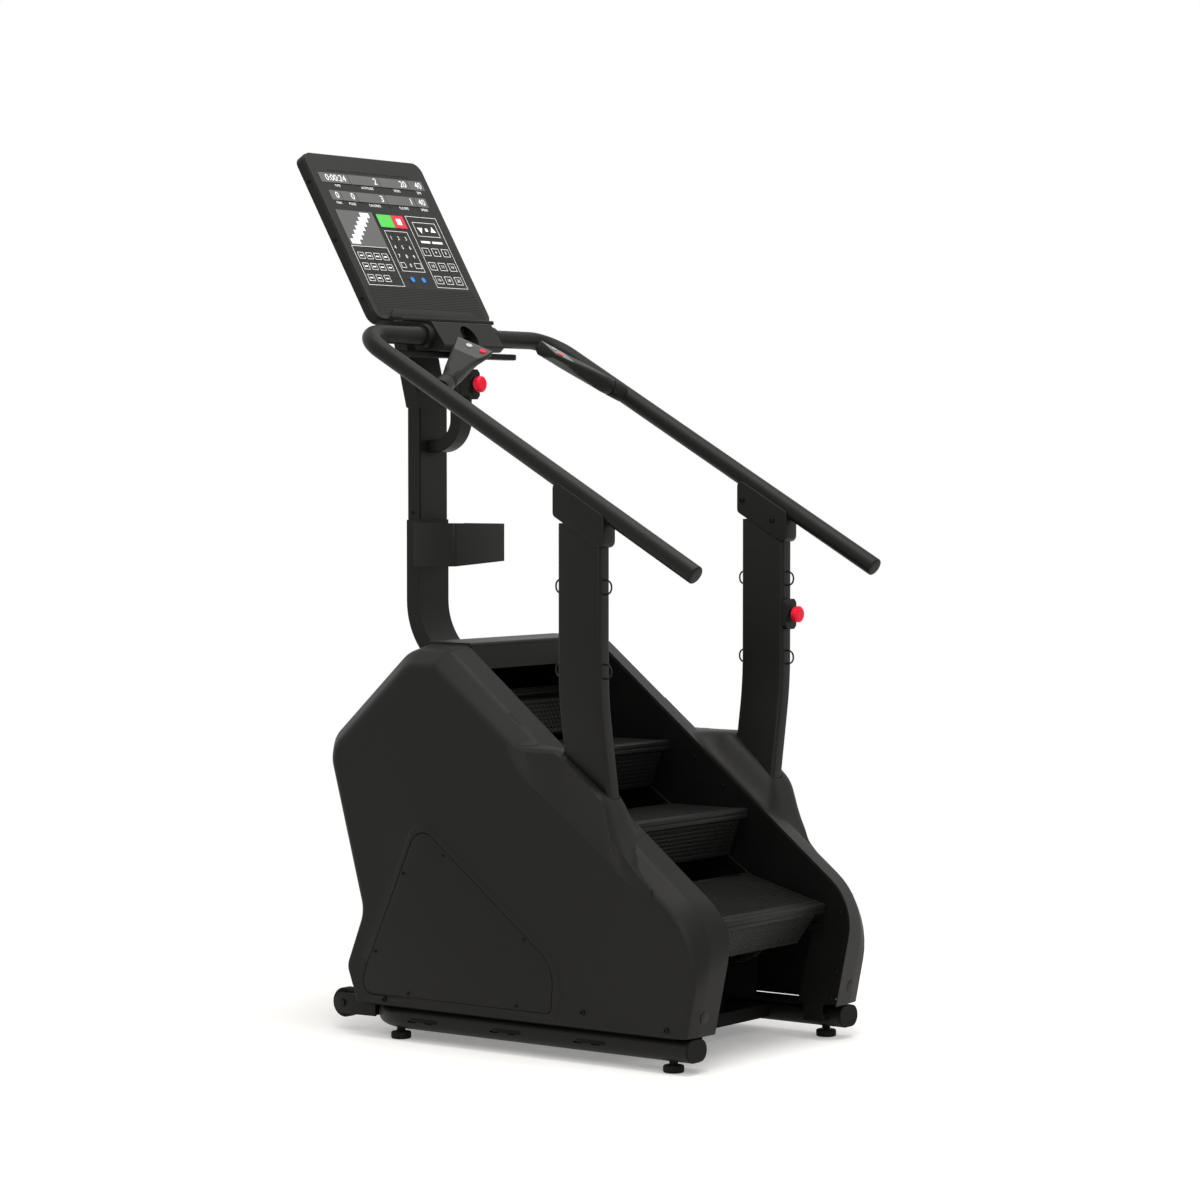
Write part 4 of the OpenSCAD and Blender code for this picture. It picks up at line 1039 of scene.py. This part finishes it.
# %% [markdown]
# ## The control pods
# A short stub leaves each rail, and above a seam it spreads into a flat head with two keys.
# The head is a loft of six-cornered sections, so round near the rail that they are circles.

# %% Sections from stub to head
def six(corners, radii):
    return rounded([(*corner, r) for corner, r in zip(corners, radii)], 5)


def stub_ring(r):
    far = r / math.cos(math.pi / 6)
    ways = [math.radians(60 + 60 * k) for k in range(6)]
    return six([(far * math.cos(a), far * math.sin(a)) for a in ways], [r * 0.999] * 6)


def head_ring(left, right, top, deep, thin, r):
    wide, low = right - left, top - deep
    corners = [(right, top), (left, top), (left, low + 6), (left + 0.24 * wide, low),
               (left + 0.58 * wide, low + 0.25 * (deep - thin)), (right, top - thin)]
    edge = min(r, 0.4 * thin)
    return six(corners, [edge, r, r, r, r, edge])


STUB = [(14, 21), (49, 21), (50, 20.4), (50.6, 18.4), (53.4, 18.4), (54, 19.8), (55, 20.4),
        (74, 20.6)]  # height, radius
HEAD = [(100, -27, 20, 19.5, 40, 34, 11), (130, -33.5, 20, 18.6, 39, 30, 10),
        (160, -40, 20.5, 17.2, 37, 25, 9), (188, -46, 23, 15.8, 35, 18, 7),
        (207, -50, 28, 15, 33, 13, 6), (232, -55.5, 32, 15, 32, 11, 5),
        (246, -58.5, 33, 15, 31.5, 10.5, 5), (251, -57.5, 32, 14.6, 31, 10, 5),
        (253, -55, 29.5, 12.5, 27, 7, 4)]  # height, then the values of head_ring
sections = [(s, stub_ring(r)) for s, r in STUB] + [(s, head_ring(*ring)) for s, *ring in HEAD]
print("sections in a pod:", len(sections))

# %% Two pods with wells for their keys
WELL_RADIUS, WELL_HEIGHT = 7.6, 229.98
TOP_HIGHLIGHT_FROM = 0.197  # metres up the pod
POD_SMOOTH = 42
pod_frame = turned(at(POST_X, 606, 1469.5), 164.19, "Z")
for degrees, axis in ((90 - 21.8, "Y"), (-25, "Z")):
    pod_frame = pod_frame @ Matrix.Rotation(math.radians(degrees), 4, axis)
pod = tube("pod_right_body", [
    [pod_frame @ mm(-n, across, s) for across, n in ring] for s, ring in sections])
smooth_below(pod, POD_SMOOTH)
for spot in (-20, 14):
    rim = [(spot + WELL_RADIUS * math.cos(a), WELL_HEIGHT + WELL_RADIUS * math.sin(a))
           for a in spin(32)]
    carve(pod, tube("key well", [[pod_frame @ mm(-n, *p) for p in rim] for n in (6, 30)]))
smooth_below(pod, POD_SMOOTH)
coat(pod, shell)
# Upward faces high on the head get the lighter finish: real polish, plus a painted highlight where
# light falls on the top.
pod.data.materials.append(painted_pod_highlight)
up_face = pod_frame.to_3x3() @ Vector((-1, 0, 0))
for face in pod.data.polygons:
    flat = face.normal.dot(up_face) > 0.97
    high = (pod_frame.inverted() @ face.center).z > TOP_HIGHLIGHT_FROM
    face.material_index = 1 if flat and high else 0
pair(pod, "pod_left_body", "cover_plastic", "control_pod_right", "control_pod_left")

# %% [markdown]
# ## What the machine stands and rolls on
# A levelling foot is a thick rubber puck turned on a stud, with a nut under the tube to lock it.
# One foot is modelled at the origin and copied to the four corners.

# %% Levelling feet
puck = soften(disc("puck", 23, 0, 16), 3.5, 3)
nut = soften(disc("lock nut", 10.5, 18, 25.8, 6), 0.8)
foot = joined("foot pattern", [puck, nut, disc("stud", 6, 10, 25)])
corners = [(x, y) for x in (-301, 301) for y in (0, 761)]
feet = [placed_copy(foot, "foot_copy", Matrix.Translation(at(x, y, 0))) for x, y in corners]
bpy.data.objects.remove(foot)
assemble("levelling_foot_pucks", feet, dull, "rubber", "levelling_feet")

# %% [markdown]
# Each wheel hangs between two plates with broad round noses. The nose is an arc about the pin,
# and the root is narrower, where the plate is welded to the bent tube.

# %% Wheel forks
WHEEL_X, PIN_Y, PIN_Z = 271, 946, 63
NOSE_RADIUS = 25
ROOT_Y = 846
around = [math.radians(-95 + 10 * k) for k in range(20)]
side_plate = [(PIN_Y + NOSE_RADIUS * math.cos(a), PIN_Z + NOSE_RADIUS * math.sin(a))
              for a in around]
side_plate += [(884, 84), (866, 74), (ROOT_Y, 74), (ROOT_Y, 40)]
fork_parts = []
for side in SIDES:
    x = side * WHEEL_X
    for inner in (x - 20.4, x + 15.4):
        fork_parts.append(soften(profile("fork plate", side_plate, inner, inner + 5), 1.2))
    pin = disc("wheel pin", 6, -22, 22, 32)
    heads = [soften(disc("pin head", 9.6, z, z + 4, 32), 1.0) for z in (-24.4, 20.4)]
    axle = moved(joined("axle", [pin, *heads]), turned(at(x, PIN_Y, PIN_Z), 90, "Y"))
    web = block("fork web", (x - 15.4, ROOT_Y, 42), (x + 15.4, 884, 72))
    fork_parts += [axle, soften(web, 1.0)]
assemble("wheel_forks", fork_parts, paint, "frame_paint", "wheel_brackets")

# %% [markdown]
# A rail ends in a domed rubber plug, turned as a stack of rings about the rail's own axis.
# A dark strip fills the slit between each moulded cover and the tube it rests on; it is painted
# shade, where the gap lies in shadow.

# %% Rail plugs and painted shade strips
RAIL_SLOPE = math.radians(29.6)
RAIL_END = (-92, 1073)
DOME = [(0, 20.9), (0.8, 20.9), (1.8, 20.3), (2.8, 19.0), (3.5, 17.2), (3.9, 14.0), (4.0, 7.0),
        (4.0, 0.01)]  # distance along the axis, radius
out = Vector((0, -math.cos(RAIL_SLOPE), -math.sin(RAIL_SLOPE)))
up = Vector((0, -math.sin(RAIL_SLOPE), math.cos(RAIL_SLOPE)))
plugs = []
for side in SIDES:
    end = at(side * POST_X, *RAIL_END)
    rings = [[end + (out * along + up * r * math.sin(a)) / 1000 + mm(r * math.cos(a), 0, 0)
              for a in spin(48)] for along, r in DOME]
    plugs.append(tube("rail plug", rings))
    plugs[-1].data.shade_smooth()
assemble("rail_plugs", plugs, grip, "rubber", "rail_end_caps")
# Dark blocks under the covers paint the shadow in the gap; they stand for no real part.
strips = [block("gap shade block", (side * 290 - 38, -20, 75), (side * 290 + 38, 846, 80.6))
          for side in SIDES]
assemble("cover_gap_painted_shade", strips, plate, "rubber")

# %% [markdown]
# ## Bent wire and bent plate
# A wire or a strip keeps one section along a path, so both are lofts with a ring for every point.
# The band loops are round wire bent to a D, and one is copied to eight places on the posts.

# %% Band loops
def run_at(path, i):
    return (path[min(i + 1, len(path) - 1)] - path[max(i - 1, 0)]).normalized()


def bulged(value, power):
    return math.copysign(abs(value) ** power, value)


WIRE_RADIUS = 2.0
across = Vector((1, 0, 0))
bow = []
for k in range(25):
    a = math.radians(90 - 7.5 * k)
    bow.append(mm(0, 18 * bulged(math.cos(a), 0.8), 15.5 * bulged(math.sin(a), 0.9)))
rings = []
for i, here in enumerate(bow):
    lift = run_at(bow, i).cross(across)
    rings.append([here + (across * math.cos(a) + lift * math.sin(a)) * WIRE_RADIUS / 1000
                  for a in spin(12)])
loop = tube("loop pattern", rings)
loop.data.shade_smooth()
places = [(x, y, z, turn) for x in (-POST_X, POST_X) for z in (860, 1042)
          for y, turn in ((259, 0), (145, 180))]
loops = [placed_copy(loop, "loop_copy", turned(at(x, y, z), turn, "Z")) for x, y, z, turn in places]
bpy.data.objects.remove(loop)
assemble("band_loop_wires", loops, paint, "frame_paint", "band_loops")

# %% [markdown]
# The holder on the mast is one strip of plate bent round two corners. It narrows along its way,
# so each ring has its own top and bottom, and a back plate with two spacers ties it to the mast.

# %% Accessory holder
HALF_PLATE = 1.5
STRAP_LOW = [(0, 1068), (122, 1069), (310, 1078), (440, 1078)]
STRAP_TOP = [(0, 1170), (122, 1169.5), (310, 1166), (440, 1166)]
bends = rounded([(-94.5, 892, 0), (-94.5, 770.5, 9), (94.5, 770.5, 5), (94.5, 892, 0)], 6)
bends = [Vector(p) for p in bends]
travel = 0.0
rings = []
for i, here in enumerate(bends):
    travel += (here - bends[max(i - 1, 0)]).length
    run = run_at(bends, i) * HALF_PLATE
    wall = Vector((-run.y, run.x))
    low, top = (curve_through(line, travel) for line in (STRAP_LOW, STRAP_TOP))
    rings.append([at(*p, z) for p, z in ((here + wall, low), (here - wall, low),
                                         (here - wall, top), (here + wall, top))])
strap = soften(tube("strap", rings), 0.7, 2, 50)
back = soften(block("holder back", (-93, 886, 1080), (93, 889, 1164)), 0.8)
spacers = [soften(block("spacer", (x - 12, 889, 1095), (x + 12, 907.8, 1150)), 1.5)
           for x in (-36, 36)]
base = soften(block("holder floor", (-92.5, 772.5, 1079), (92.5, 888, 1082)), 0.6)
assemble("holder_strap", [strap, back, base, *spacers], paint, "frame_paint", "accessory_holder")

# %% [markdown]
# The collars clamp the rails to the posts. Each is a leaning block: an outline with generous
# round corners, extruded across the post and eased along every edge.

# %% Post collars
def below_rail(y, by):
    return RAIL_END[1] + (y - RAIL_END[0]) * math.tan(RAIL_SLOPE) - by


COLLAR = [(133, 84, 14), (271, 84, 12), (271, 4, 12), (133, 4, 10)]  # y, depth, radius
leaning = rounded([(y, below_rail(y, by), r) for y, by, r in COLLAR], 6)
sleeves = []
for x in (-POST_X, POST_X):
    sleeves.append(soften(profile("collar", leaning, x - 23, x + 23), 3.5, 3, 50))
assemble("post_collar_sleeves", sleeves, paint, "frame_paint", "post_collars")

# %% [markdown]
# Small dark marks finish the tubes, all set almost flush: the bolt that closes the mast's joint,
# and dark strips that paint the shade in a long groove beside the corner of the mast and in three
# hand slots along each base tube.

# %% Painted groove shade and the mast bolt
# The groove beside the mast's corner is drawn as a dark strip, its colour painted shade.
marks = [soften(block("mast groove shade", (-51.6, 907.7, 1180), (-49.4, 908.4, 1436)), 0.2)]
bolt = soften(disc("mast bolt", 4.5, 0, 1.6, 24), 0.5)
marks.append(moved(bolt, turned(at(-54.8, 927, 1192), -90, "Y")))
for side in SIDES:
    low, high = sorted((side * 335.0, side * 338.1))
    # The hand slots are recesses, drawn as dark bars whose colour paints the shade inside them.
    for y in (195, 428, 664):
        marks.append(soften(block("hand slot shade", (low, y - 40, 47), (high, y + 40, 56)), 1.0))
assemble("tube_marks_and_groove_shade", marks, plate, "frame_paint")

# %% [markdown]
# ## The floor
# A pale floor catches the soft shadow under the base. For the camera and for reflections its
# material adds a little glow and fades out at the rim, so it reads as white paper.

# %% Floor
FLOOR_RADIUS = 3.2
clear_selection()
bpy.ops.mesh.primitive_circle_add(
    vertices=96, radius=FLOOR_RADIUS, fill_type="NGON", location=(0, 0, -0.0005))
floor = fresh("studio_floor")
paper = bpy.data.materials.new("white paper floor")
paper.use_nodes = True
tree = paper.node_tree
sheet = tree.nodes["Principled BSDF"]
give(sheet, {"Base Color": (0.93, 0.91, 0.88, 1), "Roughness": 0.9, "Specular IOR Level": 0.1})
path, place = add(tree, "LightPath"), add(tree, "TexCoord")
far = add(tree, "VectorMath", operation="LENGTH")
fade = add(tree, "MapRange", {"From Min": 1.0, "From Max": 3.0})
seen = add(tree, "Math", operation="MAXIMUM")
glow, lit = add(tree, "Emission", {"Strength": 0.25}), add(tree, "AddShader")
clear, rim, mix = (add(tree, kind) for kind in ("BsdfTransparent", "MixShader", "MixShader"))
wire((place, "Object", far, 0), (far, "Value", fade, "Value"),
     (path, "Is Camera Ray", seen, 0), (path, "Is Glossy Ray", seen, 1),
     (sheet, 0, lit, 0), (glow, 0, lit, 1), (fade, 0, rim, 0), (lit, 0, rim, 1),
     (clear, 0, rim, 2), (seen, 0, mix, 0), (sheet, 0, mix, 1), (rim, 0, mix, 2),
     (mix, 0, tree.nodes["Material Output"], "Surface"))
floor.data.materials.append(paper)
print("floor laid,", 2 * FLOOR_RADIUS, "m across")
